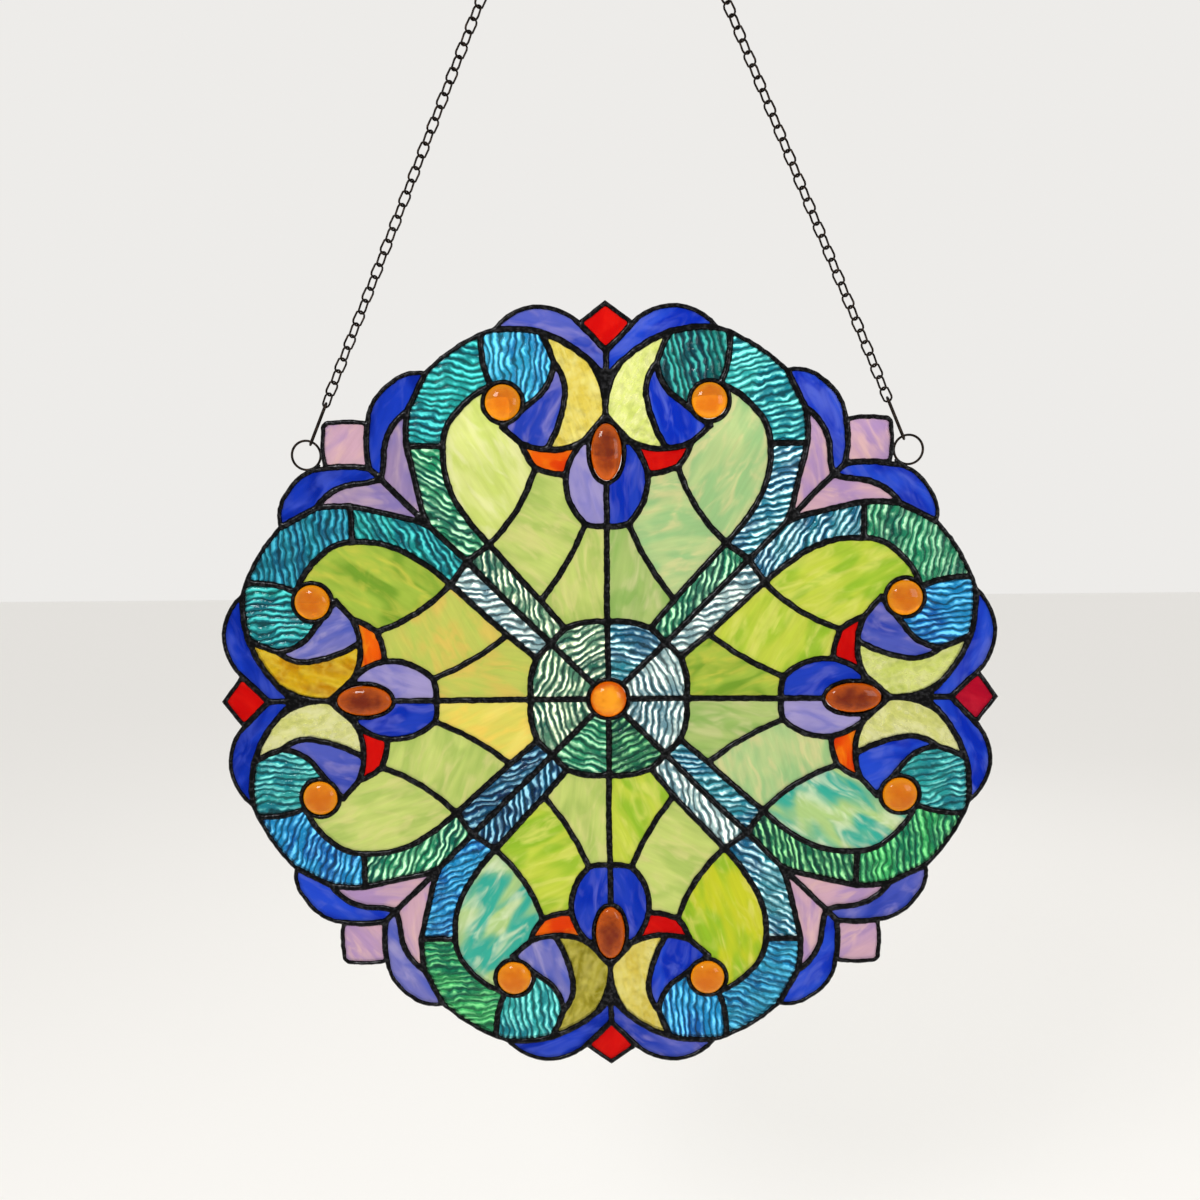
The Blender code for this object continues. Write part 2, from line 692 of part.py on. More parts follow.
def chain_loops(down, across):
    """The outline of a run of links, and the eye in the last one for the hook."""
    eye = HOOK_WIRE / 2 + hook_bend() * math.sin(HOOK_TURN) + FIT_GAP
    side = [(0.0, LINK_WAIST / 2)]
    for link in range(LINKS_PER_SIDE):
        start = link * LINK_PITCH
        side += [(start + LINK_PITCH / 2, LINK_WIDTH / 2), (start + LINK_PITCH, LINK_WAIST / 2)]
    run = LINKS_PER_SIDE * LINK_PITCH
    side[-1] = (run, eye + LINK_WIRE)
    outline = side + [(along, -out) for along, out in side[::-1]]
    narrow = LINK_WIDTH / 2 - LINK_WIRE
    hole = [(run - LINK_PITCH + LINK_WIRE, 0.0), (run - LINK_PITCH / 2, narrow), (run - LINK_WIRE, eye),
            (run - LINK_WIRE, -eye), (run - LINK_PITCH / 2, -narrow)]
    return [[down * along + across * out for along, out in loop] for loop in (outline, hole)]


def main():
    """Clear the scene and build the panel."""
    for obj in list(bpy.data.objects):
        bpy.data.objects.remove(obj)
    parts = new_collection("stained_glass_panel")
    cutters = new_collection("cutters")
    bezel_cuts = new_collection("bezel_cuts", cutters)
    lead_added = new_collection("lead_added", cutters)
    jewel_holes = new_collection("jewel_holes", cutters)
    centre_height = chain_run()[1]
    panes = build_glass(parts, bezel_cuts, centre_height)
    net = build_lead(parts, lead_added, jewel_holes, centre_height)
    build_jewels(parts, centre_height)
    runs = [build_hanging(parts, cutters, side, name) for side, name in ((1, "right"), (-1, "left"))]
    for pane in panes:
        joined_boolean(pane, bezel_cuts, "DIFFERENCE")
        flattened(pane)
    joined_boolean(net, lead_added, "UNION")
    joined_boolean(net, jewel_holes, "DIFFERENCE")
    flattened(net)
    for chain, top_cut in runs:
        cut = chain.modifiers.new("top", "BOOLEAN")
        cut.operation = "DIFFERENCE"
        cut.solver = "EXACT"
        cut.object = top_cut


main()
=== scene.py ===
"""A stained glass panel hung on its chain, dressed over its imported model.

The panel stands in the XZ plane with its front to -Y, and the chain hangs from the origin.
One half lobe and one half corner are drawn; mirrors and quarter turns make the rest.
"""

import logging
import math
from dataclasses import dataclass, field
from enum import Enum
from typing import Callable

import bmesh
import bpy
import numpy as np
from mathutils import Matrix, Vector, noise
from mathutils.geometry import delaunay_2d_cdt
from mathutils.kdtree import KDTree


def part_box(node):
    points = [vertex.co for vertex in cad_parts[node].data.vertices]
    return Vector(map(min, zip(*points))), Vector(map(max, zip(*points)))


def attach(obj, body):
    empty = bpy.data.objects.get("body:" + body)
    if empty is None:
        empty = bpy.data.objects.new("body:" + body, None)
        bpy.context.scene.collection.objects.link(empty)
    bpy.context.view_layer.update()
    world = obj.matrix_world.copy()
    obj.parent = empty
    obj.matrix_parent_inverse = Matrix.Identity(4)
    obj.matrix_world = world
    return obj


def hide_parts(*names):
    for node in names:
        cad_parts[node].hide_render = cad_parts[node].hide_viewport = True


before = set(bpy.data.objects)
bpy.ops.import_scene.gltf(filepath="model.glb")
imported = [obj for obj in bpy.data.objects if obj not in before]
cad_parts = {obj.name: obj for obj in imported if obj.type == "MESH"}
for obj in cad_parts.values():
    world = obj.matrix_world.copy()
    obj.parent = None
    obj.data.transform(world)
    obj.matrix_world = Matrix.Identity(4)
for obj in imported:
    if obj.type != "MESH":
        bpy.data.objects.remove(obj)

LOG = logging.getLogger("stained_glass_panel")
MM = 0.001
BODY = "root"

Colour = tuple[float, float, float]
Line = list[Vector]

# The drawing, in millimetres from the panel's centre. The lobe's axis is X = 0, the corner's X = Y.
DRAWN_RADIUS = 210.0
HUB = (0.0, 0.0)
HUB_TOP = (0.0, 42.1)
HUB_SIDE = (22.8, 38.8)
HUB_CORNER = (30.7, 30.7)
FAN_SPLIT = (35.5, 53.9)
WRIST_IN = (62.9, 83.8)
WRIST_OUT = (75.2, 75.2)
PETAL_FOOT = (0.0, 93.3)
PETAL_HEEL = (11.7, 94.4)
OVAL_JEWEL = (0.0, 132.2)
ROUND_JEWEL = (54.0, 158.4)
RED_TOP = (11.7, 138.4)
RED_FOOT = (21.4, 120.5)
RED_LOW = (37.4, 124.3)
RED_TIP = (44.5, 137.0)
MOON_FOOT = (0.0, 151.4)
MOON_HEEL = (31.2, 133.8)
MOON_TIP = (33.6, 194.0)
MOON_SHOULDER = (8.3, 179.2)
MOON_WAIST = (0.0, 156.5)
LEAF_TOP = (26.9, 178.5)
LEAF_TIP = (54.5, 145.7)
CREST_FOOT = (0.0, 170.4)
CREST_END = (58.1, 195.6)
DIAMOND_FOOT = (0.0, 184.5)
TIP_NOTCH = (13.6, 198.3)
LOBE_TIP = (0.0, 208.4)
BAND_START = (59.7, 167.1)
BAND_JOINT = (64.6, 193.4)
ELBOW_IN = (86.1, 135.9)
ELBOW_OUT = (105.4, 135.9)
CORNER_NOTCH = (94.4, 173.6)
PINK_TIP = (104.2, 154.4)
PINK_FOOT = (94.4, 94.4)
PINK_HEEL = (119.4, 119.4)
SQUARE_FOOT = (125.1, 125.1)
SQUARE_NOTCH = (125.3, 148.1)
SQUARE_CORNER = (147.7, 147.7)

# Each line runs through its points as arcs: every second point lies on the way.
RIM_LINES = {
    "diamond_rim": (LOBE_TIP, TIP_NOTCH),
    "crest_rim": (TIP_NOTCH, (24.4, 204.9), (37.2, 206.9), (46.2, 204.5), CREST_END),
    "band_rim": (CREST_END, BAND_JOINT),
    "outer_rim": (BAND_JOINT, (80.3, 185.0), CORNER_NOTCH),
    "corner_rim": (CORNER_NOTCH, (103.6, 173.5), (111.8, 169.3), (120.5, 161.2), SQUARE_NOTCH),
    "square_rim": (SQUARE_NOTCH, (136.0, 149.3), (145.4, 148.7), (146.8, 148.5), SQUARE_CORNER),
}
SOLDER_LINES = {
    "diamond_foot": (TIP_NOTCH, DIAMOND_FOOT),
    "crest_sole": (CREST_FOOT, (16.3, 185.6), MOON_TIP),
    "crest_tail": (MOON_TIP, (46.1, 195.9), CREST_END),
    "crest_joint": (CREST_FOOT, DIAMOND_FOOT),
    "moon_back": (MOON_TIP, (29.6, 186.1), LEAF_TOP),
    "moon_belly": (LEAF_TOP, (22.6, 171.5), (21.1, 161.7), (24.1, 148.7), MOON_HEEL),
    "moon_sole": (MOON_HEEL, (20.6, 134.6), RED_TOP),
    "moon_toe": (RED_TOP, MOON_FOOT),
    "moon_joint": (MOON_FOOT, MOON_WAIST),
    "moon_round": (MOON_SHOULDER, (2.4, 168.3), MOON_WAIST),
    "leaf_back": (LEAF_TOP, (29.8, 167.9), (39.1, 158.2), (46.7, 151.7), LEAF_TIP),
    "leaf_end": (LEAF_TIP, (49.4, 141.1), RED_TIP),
    "red_crown": (RED_TIP, (38.0, 134.7), MOON_HEEL),
    "red_side": (RED_LOW, (41.5, 130.2), RED_TIP),
    "red_sole": (RED_FOOT, (29.3, 121.5), RED_LOW),
    "petal_side": (PETAL_HEEL, (19.0, 104.7), RED_FOOT),
    "petal_sole": (PETAL_FOOT, (6.0, 93.1), PETAL_HEEL),
    "petal_joint": (RED_FOOT, (17.9, 130.5), RED_TOP),
    "petal_top": (RED_TOP, OVAL_JEWEL),
    "petal_axis": (PETAL_FOOT, OVAL_JEWEL),
    "jewel_inside": (LEAF_TIP, ROUND_JEWEL),
    "jewel_outside": (ROUND_JEWEL, BAND_START),
    "band_joint": (BAND_JOINT, (64.3, 182.3), BAND_START),
    "band_inside": (BAND_START, (70.5, 161.4), (79.5, 152.7), (84.4, 144.9), ELBOW_IN),
    "arm_inside": (ELBOW_IN, (84.9, 119.4), (78.7, 104.5), (71.1, 93.3), WRIST_IN),
    "strap_upper": (WRIST_IN, FAN_SPLIT),
    "strap_lower": (FAN_SPLIT, HUB_SIDE),
    "hub_top": (HUB_TOP, (13.6, 41.8), HUB_SIDE),
    "hub_side": (HUB_SIDE, (27.2, 34.9), HUB_CORNER),
    "hub_axis": (HUB, HUB_TOP),
    "hub_diagonal": (HUB, HUB_CORNER),
    "strap_diagonal": (HUB_CORNER, WRIST_OUT),
    "arm_diagonal": (WRIST_OUT, PINK_FOOT),
    "pink_diagonal": (PINK_FOOT, PINK_HEEL),
    "blue_diagonal": (PINK_HEEL, SQUARE_FOOT),
    "wrist_joint": (WRIST_IN, WRIST_OUT),
    "elbow_joint": (ELBOW_IN, ELBOW_OUT),
    "fan_axis": (HUB_TOP, PETAL_FOOT),
    "fan_side": (PETAL_HEEL, (20.9, 74.9), FAN_SPLIT),
    "fan_blade": (RED_LOW, (45.8, 105.3), WRIST_IN),
    "outer_back": (CORNER_NOTCH, (99.0, 163.9), PINK_TIP),
    "pink_back": (PINK_TIP, (105.4, 144.9), ELBOW_OUT),
    "pink_edge": (PINK_TIP, (114.0, 143.4), (117.2, 130.0), (118.0, 124.0), PINK_HEEL),
    "arm_outside": (ELBOW_OUT, (102.4, 121.5), (98.5, 105.3), (96.7, 99.4), PINK_FOOT),
    "square_side": (SQUARE_FOOT, (126.2, 136.7), SQUARE_NOTCH),
}
RIPPLE_SPACING = 3.5 * MM
RIPPLE_WANDER = 10.0
RIPPLE_DETAIL = {"Detail": 3.0, "Detail Scale": 0.8, "Detail Roughness": 0.55}
LOBE_MIRROR = ((0.0, -DRAWN_RADIUS), (0.0, 2 * DRAWN_RADIUS))
CORNER_MIRROR = ((-DRAWN_RADIUS, -DRAWN_RADIUS), (2 * DRAWN_RADIUS, 2 * DRAWN_RADIUS))
LOBES = ("top", "right", "bottom", "left")
CORNERS = ("top_right", "bottom_right", "bottom_left", "top_left")


def srgb(red: int, green: int, blue: int) -> Colour:
    """A colour as the shader wants it, from the everyday 0 to 255 scale."""
    shares = (red / 255, green / 255, blue / 255)
    return tuple(((c + 0.055) / 1.055) ** 2.4 if c > 0.0393 else c / 12.92 for c in shares)


class Relief(Enum):
    """How the front of a sheet of glass is formed."""

    SMOOTH = "smooth"
    RIPPLED = "rippled"
    HAMMERED = "hammered"


@dataclass(frozen=True)
class GlassSheet:
    """A sheet of glass that pieces are cut from.

    Its body colour carries broad streaks of a second colour and thin wisps of a third. On rippled and
    hammered glass the third colour is also the painted glint on the crests.
    """

    relief: Relief
    body: Colour
    streak: Colour
    wisp_and_glint: Colour
    slot: str


def opal(body: Colour, streak: Colour, wisp_and_glint: Colour, slot: str = "green_glass") -> GlassSheet:
    """A smooth streaky sheet."""
    return GlassSheet(Relief.SMOOTH, body, streak, wisp_and_glint, slot)


def ripple(body: Colour, streak: Colour, wisp_and_glint: Colour) -> GlassSheet:
    """A rippled sheet."""
    return GlassSheet(Relief.RIPPLED, body, streak, wisp_and_glint, "teal_glass")


def hammer(body: Colour, streak: Colour, wisp_and_glint: Colour) -> GlassSheet:
    """A hammered sheet."""
    return GlassSheet(Relief.HAMMERED, body, streak, wisp_and_glint, "yellow_glass")


SHEETS = {
    "cobalt": opal(srgb(6, 44, 180), srgb(36, 76, 206), srgb(88, 106, 208), "blue_glass"),
    "deep_blue": opal(srgb(2, 38, 158), srgb(22, 60, 190), srgb(64, 86, 198), "blue_glass"),
    "blue_lilac": opal(srgb(36, 62, 174), srgb(84, 96, 190), srgb(140, 134, 198), "blue_glass"),
    "lilac": opal(srgb(122, 122, 192), srgb(84, 98, 190), srgb(168, 160, 206), "blue_glass"),
    "petal_blue": opal(srgb(4, 46, 178), srgb(34, 66, 190), srgb(92, 102, 202), "violet_glass"),
    "petal_lilac": opal(srgb(156, 148, 202), srgb(168, 158, 206), srgb(126, 124, 198), "violet_glass"),
    "red": opal(srgb(202, 2, 2), srgb(212, 8, 4), srgb(224, 24, 10), "red_glass"),
    "orange": opal(srgb(224, 62, 4), srgb(238, 100, 8), srgb(246, 146, 20), "red_glass"),
    "crimson": opal(srgb(168, 2, 40), srgb(184, 8, 42), srgb(200, 30, 54), "red_glass"),
    "mauve": opal(srgb(208, 170, 186), srgb(178, 146, 190), srgb(228, 190, 184), "pink_glass"),
    "heather": opal(srgb(162, 138, 176), srgb(140, 124, 182), srgb(198, 172, 188), "pink_glass"),
    "pear": opal(srgb(218, 224, 140), srgb(204, 216, 118), srgb(230, 230, 170)),
    "pale_green": opal(srgb(200, 212, 120), srgb(178, 198, 104), srgb(216, 212, 138)),
    "mint": opal(srgb(188, 208, 144), srgb(160, 198, 136), srgb(220, 212, 154)),
    "sage": opal(srgb(178, 198, 118), srgb(150, 184, 98), srgb(204, 206, 146)),
    "aqua": opal(srgb(180, 208, 136), srgb(60, 176, 156), srgb(222, 232, 196)),
    "lime": opal(srgb(198, 210, 74), srgb(154, 192, 50), srgb(220, 220, 110)),
    "olive": opal(srgb(168, 192, 72), srgb(122, 162, 48), srgb(206, 202, 80)),
    "yellow": opal(srgb(200, 204, 44), srgb(152, 190, 44), srgb(226, 218, 110)),
    "blush": opal(srgb(198, 204, 98), srgb(222, 198, 98), srgb(182, 202, 92)),
    "cream": opal(srgb(236, 222, 114), srgb(220, 214, 100), srgb(246, 212, 98)),
    # The third colour of a rippled sheet is mostly its painted glint, painted pale on the crests of its
    # ripples.
    "teal": ripple(srgb(0, 112, 126), srgb(22, 154, 150), srgb(82, 200, 196)),
    "dark_teal": ripple(srgb(0, 62, 74), srgb(0, 98, 92), srgb(60, 160, 150)),
    "sky_teal": ripple(srgb(6, 112, 168), srgb(44, 158, 194), srgb(100, 192, 222)),
    "turquoise": ripple(srgb(4, 126, 142), srgb(40, 166, 164), srgb(132, 220, 210)),
    "green_teal": ripple(srgb(0, 108, 88), srgb(30, 146, 102), srgb(188, 234, 190)),
    "emerald": ripple(srgb(4, 122, 86), srgb(48, 170, 96), srgb(130, 214, 140)),
    "blue_teal": ripple(srgb(10, 100, 140), srgb(40, 146, 164), srgb(214, 244, 244)),
    "deep_teal": ripple(srgb(0, 88, 124), srgb(10, 128, 148), srgb(70, 172, 192)),
    "blue_wave": ripple(srgb(0, 96, 176), srgb(14, 140, 198), srgb(110, 196, 232)),
    "night_blue": ripple(srgb(0, 48, 96), srgb(6, 88, 130), srgb(150, 204, 220)),
    "steel": ripple(srgb(108, 156, 170), srgb(162, 196, 198), srgb(254, 255, 242)),
    "pale_wave": ripple(srgb(44, 116, 96), srgb(104, 160, 126), srgb(254, 255, 222)),
    "bottle": ripple(srgb(0, 78, 62), srgb(24, 116, 80), srgb(150, 214, 150)),
    # The third colour of a hammered sheet is both its wisps and the painted highlight on its hammer marks.
    "straw": hammer(srgb(222, 208, 106), srgb(212, 192, 76), srgb(232, 226, 152)),
    "pale_lime": hammer(srgb(220, 226, 136), srgb(206, 216, 112), srgb(234, 232, 176)),
    "ivory": hammer(srgb(226, 226, 158), srgb(212, 214, 126), srgb(236, 234, 190)),
    "gold": hammer(srgb(222, 184, 24), srgb(200, 140, 4), srgb(236, 214, 84)),
    "old_gold": hammer(srgb(176, 166, 58), srgb(146, 136, 26), srgb(216, 206, 110)),
}


@dataclass(frozen=True)
class TileShape:
    """A piece of glass as it is drawn: the lines round it, its inside to the left.

    flow is the way that its streaks and ripples run, in degrees from the drawing's X.
    """

    node: str
    lines: tuple[str, ...]
    flow: float
    mirror: tuple | None = None


TILE_SHAPES = {
    "diamond": TileShape("red_diamond", ("-diamond_foot", "-diamond_rim"), 60, LOBE_MIRROR),
    "crest": TileShape("blue_crest", ("crest_sole", "crest_tail", "-crest_rim", "diamond_foot",
                                      "-crest_joint"), 25),
    "moon": TileShape("yellow_moons", ("-moon_toe", "-moon_sole", "-moon_belly", "-moon_back",
                                       "-crest_sole", "moon_round", "-moon_joint"), 70),
    "blue_leaf": TileShape("blue_leaf", ("-leaf_back", "moon_belly", "-red_crown", "-leaf_end"), 105),
    "curl": TileShape("heart_band", ("-band_rim", "-crest_tail", "moon_back", "leaf_back",
                                     "jewel_inside", "jewel_outside", "-band_joint"), 95),
    "outer": TileShape("heart_band", ("band_joint", "band_inside", "elbow_joint", "-pink_back",
                                      "-outer_back", "-outer_rim"), 12),
    "arm": TileShape("heart_band", ("arm_inside", "wrist_joint", "arm_diagonal", "-arm_outside",
                                    "-elbow_joint"), 22),
    "strap": TileShape("heart_band", ("strap_upper", "strap_lower", "hub_side", "strap_diagonal",
                                      "-wrist_joint"), 82),
    "wedge": TileShape("heart_band", ("hub_diagonal", "-hub_side", "-hub_top", "-hub_axis"), -18),
    "leaf": TileShape("green_fan", ("-band_inside", "-jewel_outside", "-jewel_inside", "leaf_end",
                                    "-red_side", "fan_blade", "-arm_inside"), 62),
    "fan": TileShape("green_fan", ("-red_sole", "-petal_side", "fan_side", "-strap_upper",
                                   "-fan_blade"), 20),
    "blade": TileShape("green_fan", ("hub_top", "-strap_lower", "-fan_side", "-petal_sole",
                                     "-fan_axis"), 75),
    "petal": TileShape("tulip", ("petal_sole", "petal_side", "petal_joint", "petal_top",
                                 "-petal_axis"), 80),
    "red": TileShape("tulip", ("red_sole", "red_side", "red_crown", "moon_sole", "-petal_joint"), 10),
    "square": TileShape("pink_square", ("-square_rim", "-square_side"), 135, CORNER_MIRROR),
    "corner_blue": TileShape("corner_leaves", ("square_side", "-corner_rim", "outer_back", "pink_edge",
                                               "blue_diagonal"), 120),
    "corner_pink": TileShape("corner_leaves", ("pink_back", "arm_outside", "pink_diagonal",
                                               "-pink_edge"), 95),
}

# The sheet each piece is cut from: for a lobe seen with its tip up, its left piece and its right
LOBE_SHEETS = {
    "top": {
        "diamond": ("red",), "crest": ("blue_lilac", "cobalt"), "moon": ("straw", "pale_lime"),
        "blue_leaf": ("blue_lilac", "cobalt"), "curl": ("sky_teal", "dark_teal"),
        "outer": ("teal", "turquoise"), "arm": ("green_teal", "blue_teal"),
        "strap": ("pale_wave", "green_teal"), "wedge": ("pale_wave", "blue_teal"),
        "leaf": ("pear", "mint"), "fan": ("pale_green", "mint"), "blade": ("pale_green", "sage"),
        "petal": ("petal_lilac", "petal_blue"), "red": ("orange", "red"),
    },
    "right": {
        "diamond": ("crimson",), "crest": ("cobalt", "cobalt"), "moon": ("pale_lime", "ivory"),
        "blue_leaf": ("blue_lilac", "cobalt"), "curl": ("blue_wave", "turquoise"),
        "outer": ("green_teal", "emerald"), "arm": ("blue_teal", "bottle"),
        "strap": ("steel", "blue_teal"), "wedge": ("steel", "steel"), "leaf": ("lime", "aqua"),
        "fan": ("lime", "mint"), "blade": ("olive", "sage"),
        "petal": ("petal_blue", "petal_lilac"), "red": ("red", "orange"),
    },
    "bottom": {
        "diamond": ("red",), "crest": ("blue_lilac", "deep_blue"), "moon": ("straw", "old_gold"),
        "blue_leaf": ("cobalt", "lilac"), "curl": ("blue_wave", "turquoise"),
        "outer": ("sky_teal", "emerald"), "arm": ("blue_teal", "blue_wave"),
        "strap": ("steel", "night_blue"), "wedge": ("bottle", "green_teal"), "leaf": ("yellow", "aqua"),
        "fan": ("pale_green", "lime"), "blade": ("lime", "pale_green"),
        "petal": ("petal_blue", "petal_blue"), "red": ("red", "orange"),
    },
    "left": {
        "diamond": ("red",), "crest": ("deep_blue", "deep_blue"), "moon": ("ivory", "gold"),
        "blue_leaf": ("blue_lilac", "lilac"), "curl": ("turquoise", "teal"),
        "outer": ("blue_wave", "deep_teal"), "arm": ("green_teal", "teal"),
        "strap": ("night_blue", "steel"), "wedge": ("pale_wave", "pale_wave"),
        "leaf": ("pale_green", "olive"), "fan": ("pale_green", "blush"), "blade": ("cream", "blush"),
        "petal": ("petal_blue", "petal_lilac"), "red": ("red", "orange"),
    },
}
CORNER_SHEETS = {
    "top_right": {"square": ("mauve",), "corner_blue": ("cobalt", "cobalt"),
                  "corner_pink": ("mauve", "mauve")},
    "bottom_right": {"square": ("mauve",), "corner_blue": ("cobalt", "blue_lilac"),
                     "corner_pink": ("mauve", "mauve")},
    "bottom_left": {"square": ("mauve",), "corner_blue": ("cobalt", "lilac"),
                    "corner_pink": ("mauve", "mauve")},
    "top_left": {"square": ("mauve",), "corner_blue": ("deep_blue", "deep_blue"),
                 "corner_pink": ("heather", "heather")},
}


def arc_through(start: Vector, way: Vector, end: Vector, step: float) -> Line:
    """The circular arc from start to end that passes the way point.

    Args:
        start: Where the arc starts.
        way: A point on the way.
        end: Where the arc ends.
        step: The greatest angle between two points, in radians.

    Returns:
        Points along the arc, both ends with them.
    """
    chord = end - start
    bend = way - start
    area = 2 * (chord.x * bend.y - chord.y * bend.x)
    if abs(area) < 1e-4 * chord.length_squared:
        return [start, end]
    offset = Vector((
        chord.length_squared * -bend.y + bend.length_squared * chord.y,
        chord.length_squared * bend.x - bend.length_squared * chord.x,
    )) / area
    centre = start - offset
    radius = start - centre
    turn = radius.angle_signed(end - centre)
    side = -1 if area > 0 else 1
    sweep = -side * (abs(turn) if turn * side < 0 else math.tau - abs(turn))
    steps = max(1, math.ceil(abs(sweep) / step))
    return [centre + Matrix.Rotation(-sweep * i / steps, 2) @ radius for i in range(steps)] + [end]


def shifted(line: Line, distance: float) -> Line:
    """Move a line to its left.

    Args:
        line: The line.
        distance: How far it moves; below zero it moves to the right.

    Returns:
        The moved line.
    """
    moved = []
    for i, point in enumerate(line):
        before = (point - line[i - 1]).normalized() if i else (line[1] - point).normalized()
        after = (line[i + 1] - point).normalized() if i + 1 < len(line) else before
        middle = (before + after).normalized()
        normal = Vector((-middle.y, middle.x))
        moved.append(point + normal * distance / max(0.5, middle.dot(before)))
    return moved


def crossing(a: Vector, b: Vector, c: Vector, d: Vector) -> Vector | None:
    """Find where two straight pieces cross.

    Args:
        a: Start of the first piece.
        b: Its end.
        c: Start of the second piece.
        d: Its end.

    Returns:
        The crossing, or None where they don't cross.
    """
    along = b - a
    other = d - c
    area = along.x * other.y - along.y * other.x
    if abs(area) < 1e-12:
        return None
    gap = c - a
    t = (gap.x * other.y - gap.y * other.x) / area
    s = (gap.x * along.y - gap.y * along.x) / area
    return a + along * t if 0 <= t <= 1 and 0 <= s <= 1 else None


def met(first: Line, second: Line, reach: float = 20 * MM) -> tuple[Line, Line]:
    """Cut two lines where the end of the first meets the start of the second.

    Args:
        first: The line that ends at the corner.
        second: The line that starts there.
        reach: How far either may run on to meet the other.

    Returns:
        Both lines, cut or run on to the corner.
    """
    tail = first[-1] + (first[-1] - first[-2]).normalized() * reach
    head = second[0] + (second[0] - second[1]).normalized() * reach
    first_run = first + [tail]
    second_run = [head] + second
    best = None
    for i in range(len(first_run) - 1):
        for j in range(len(second_run) - 1):
            spot = crossing(first_run[i], first_run[i + 1], second_run[j], second_run[j + 1])
            if spot is None:
                continue
            cost = (spot - first[-1]).length + (spot - second[0]).length
            if best is None or cost < best[0]:
                best = (cost, spot, i, j)
    if best is None:
        return first, second
    spot, i, j = best[1:]
    return first_run[:i + 1] + [spot], [spot] + second_run[j + 1:]


def eased(loop: Line, reach: float = 1.1 * MM) -> Line:
    """The loop, turning left, with its outward corners rounded.

    Args:
        loop: The closed outline.
        reach: How far along its sides each rounding may reach.

    Returns:
        The rounded outline.
    """
    smooth: Line = []
    for i, corner in enumerate(loop):
        to = corner - loop[i - 1]
        away = loop[(i + 1) % len(loop)] - corner
        turn = math.atan2(to.x * away.y - to.y * away.x, to.dot(away))
        if turn < math.radians(35):
            smooth.append(corner)
            continue
        start = corner - to.normalized() * min(reach, to.length / 2.2)
        end = corner + away.normalized() * min(reach, away.length / 2.2)
        for t in (0.0, 0.3, 0.7, 1.0):
            smooth.append(start * (1 - t) ** 2 + corner * (2 * t * (1 - t)) + end * t ** 2)
    return smooth


def filled_in(line: Line, step: float, closed: bool = True) -> Line:
    """Add points to a line, so that none is further than a step from the next.

    Args:
        line: The line.
        step: The longest distance between two points.
        closed: Whether the last point joins the first.

    Returns:
        The line with its new points.
    """
    dense = []
    ends = line[1:] + line[:1] if closed else line[1:]
    for start, end in zip(line, ends):
        count = max(1, math.ceil((end - start).length / step))
        dense += [start.lerp(end, i / count) for i in range(count)]
    return dense if closed else dense + [line[-1]]


def oval(centre: Vector, width: float, length: float, sides: int) -> Line:
    """A closed oval, its length along Y."""
    turns = (math.tau * i / sides for i in range(sides))
    return [centre + Vector((width / 2 * math.cos(t), length / 2 * math.sin(t))) for t in turns]


def inside(points: np.ndarray, loop: Line) -> np.ndarray:
    """Tell which points lie inside a closed loop.

    Args:
        points: The points, one a row.
        loop: The loop.

    Returns:
        One truth value for each point.
    """
    x, y = points[:, 0], points[:, 1]
    found = np.zeros(len(points), bool)
    for a, b in zip(loop, loop[1:] + loop[:1]):
        if a.y == b.y:
            continue
        spans = (a.y > y) != (b.y > y)
        found ^= spans & (x < (b.x - a.x) * (y - a.y) / (b.y - a.y) + a.x)
    return found


@dataclass(frozen=True)
class JewelPlace:
    """A domed jewel of the half lobe: where it lies, its size and its rise."""

    centre: tuple[float, float]
    width: float
    length: float
    rise: float


ROUND = JewelPlace(ROUND_JEWEL, 18.6 * MM, 18.6 * MM, 5.8 * MM)
OVAL = JewelPlace(OVAL_JEWEL, 16.0 * MM, 29.6 * MM, 5.2 * MM)
CENTRE = JewelPlace(HUB, 19.2 * MM, 19.2 * MM, 6.4 * MM)


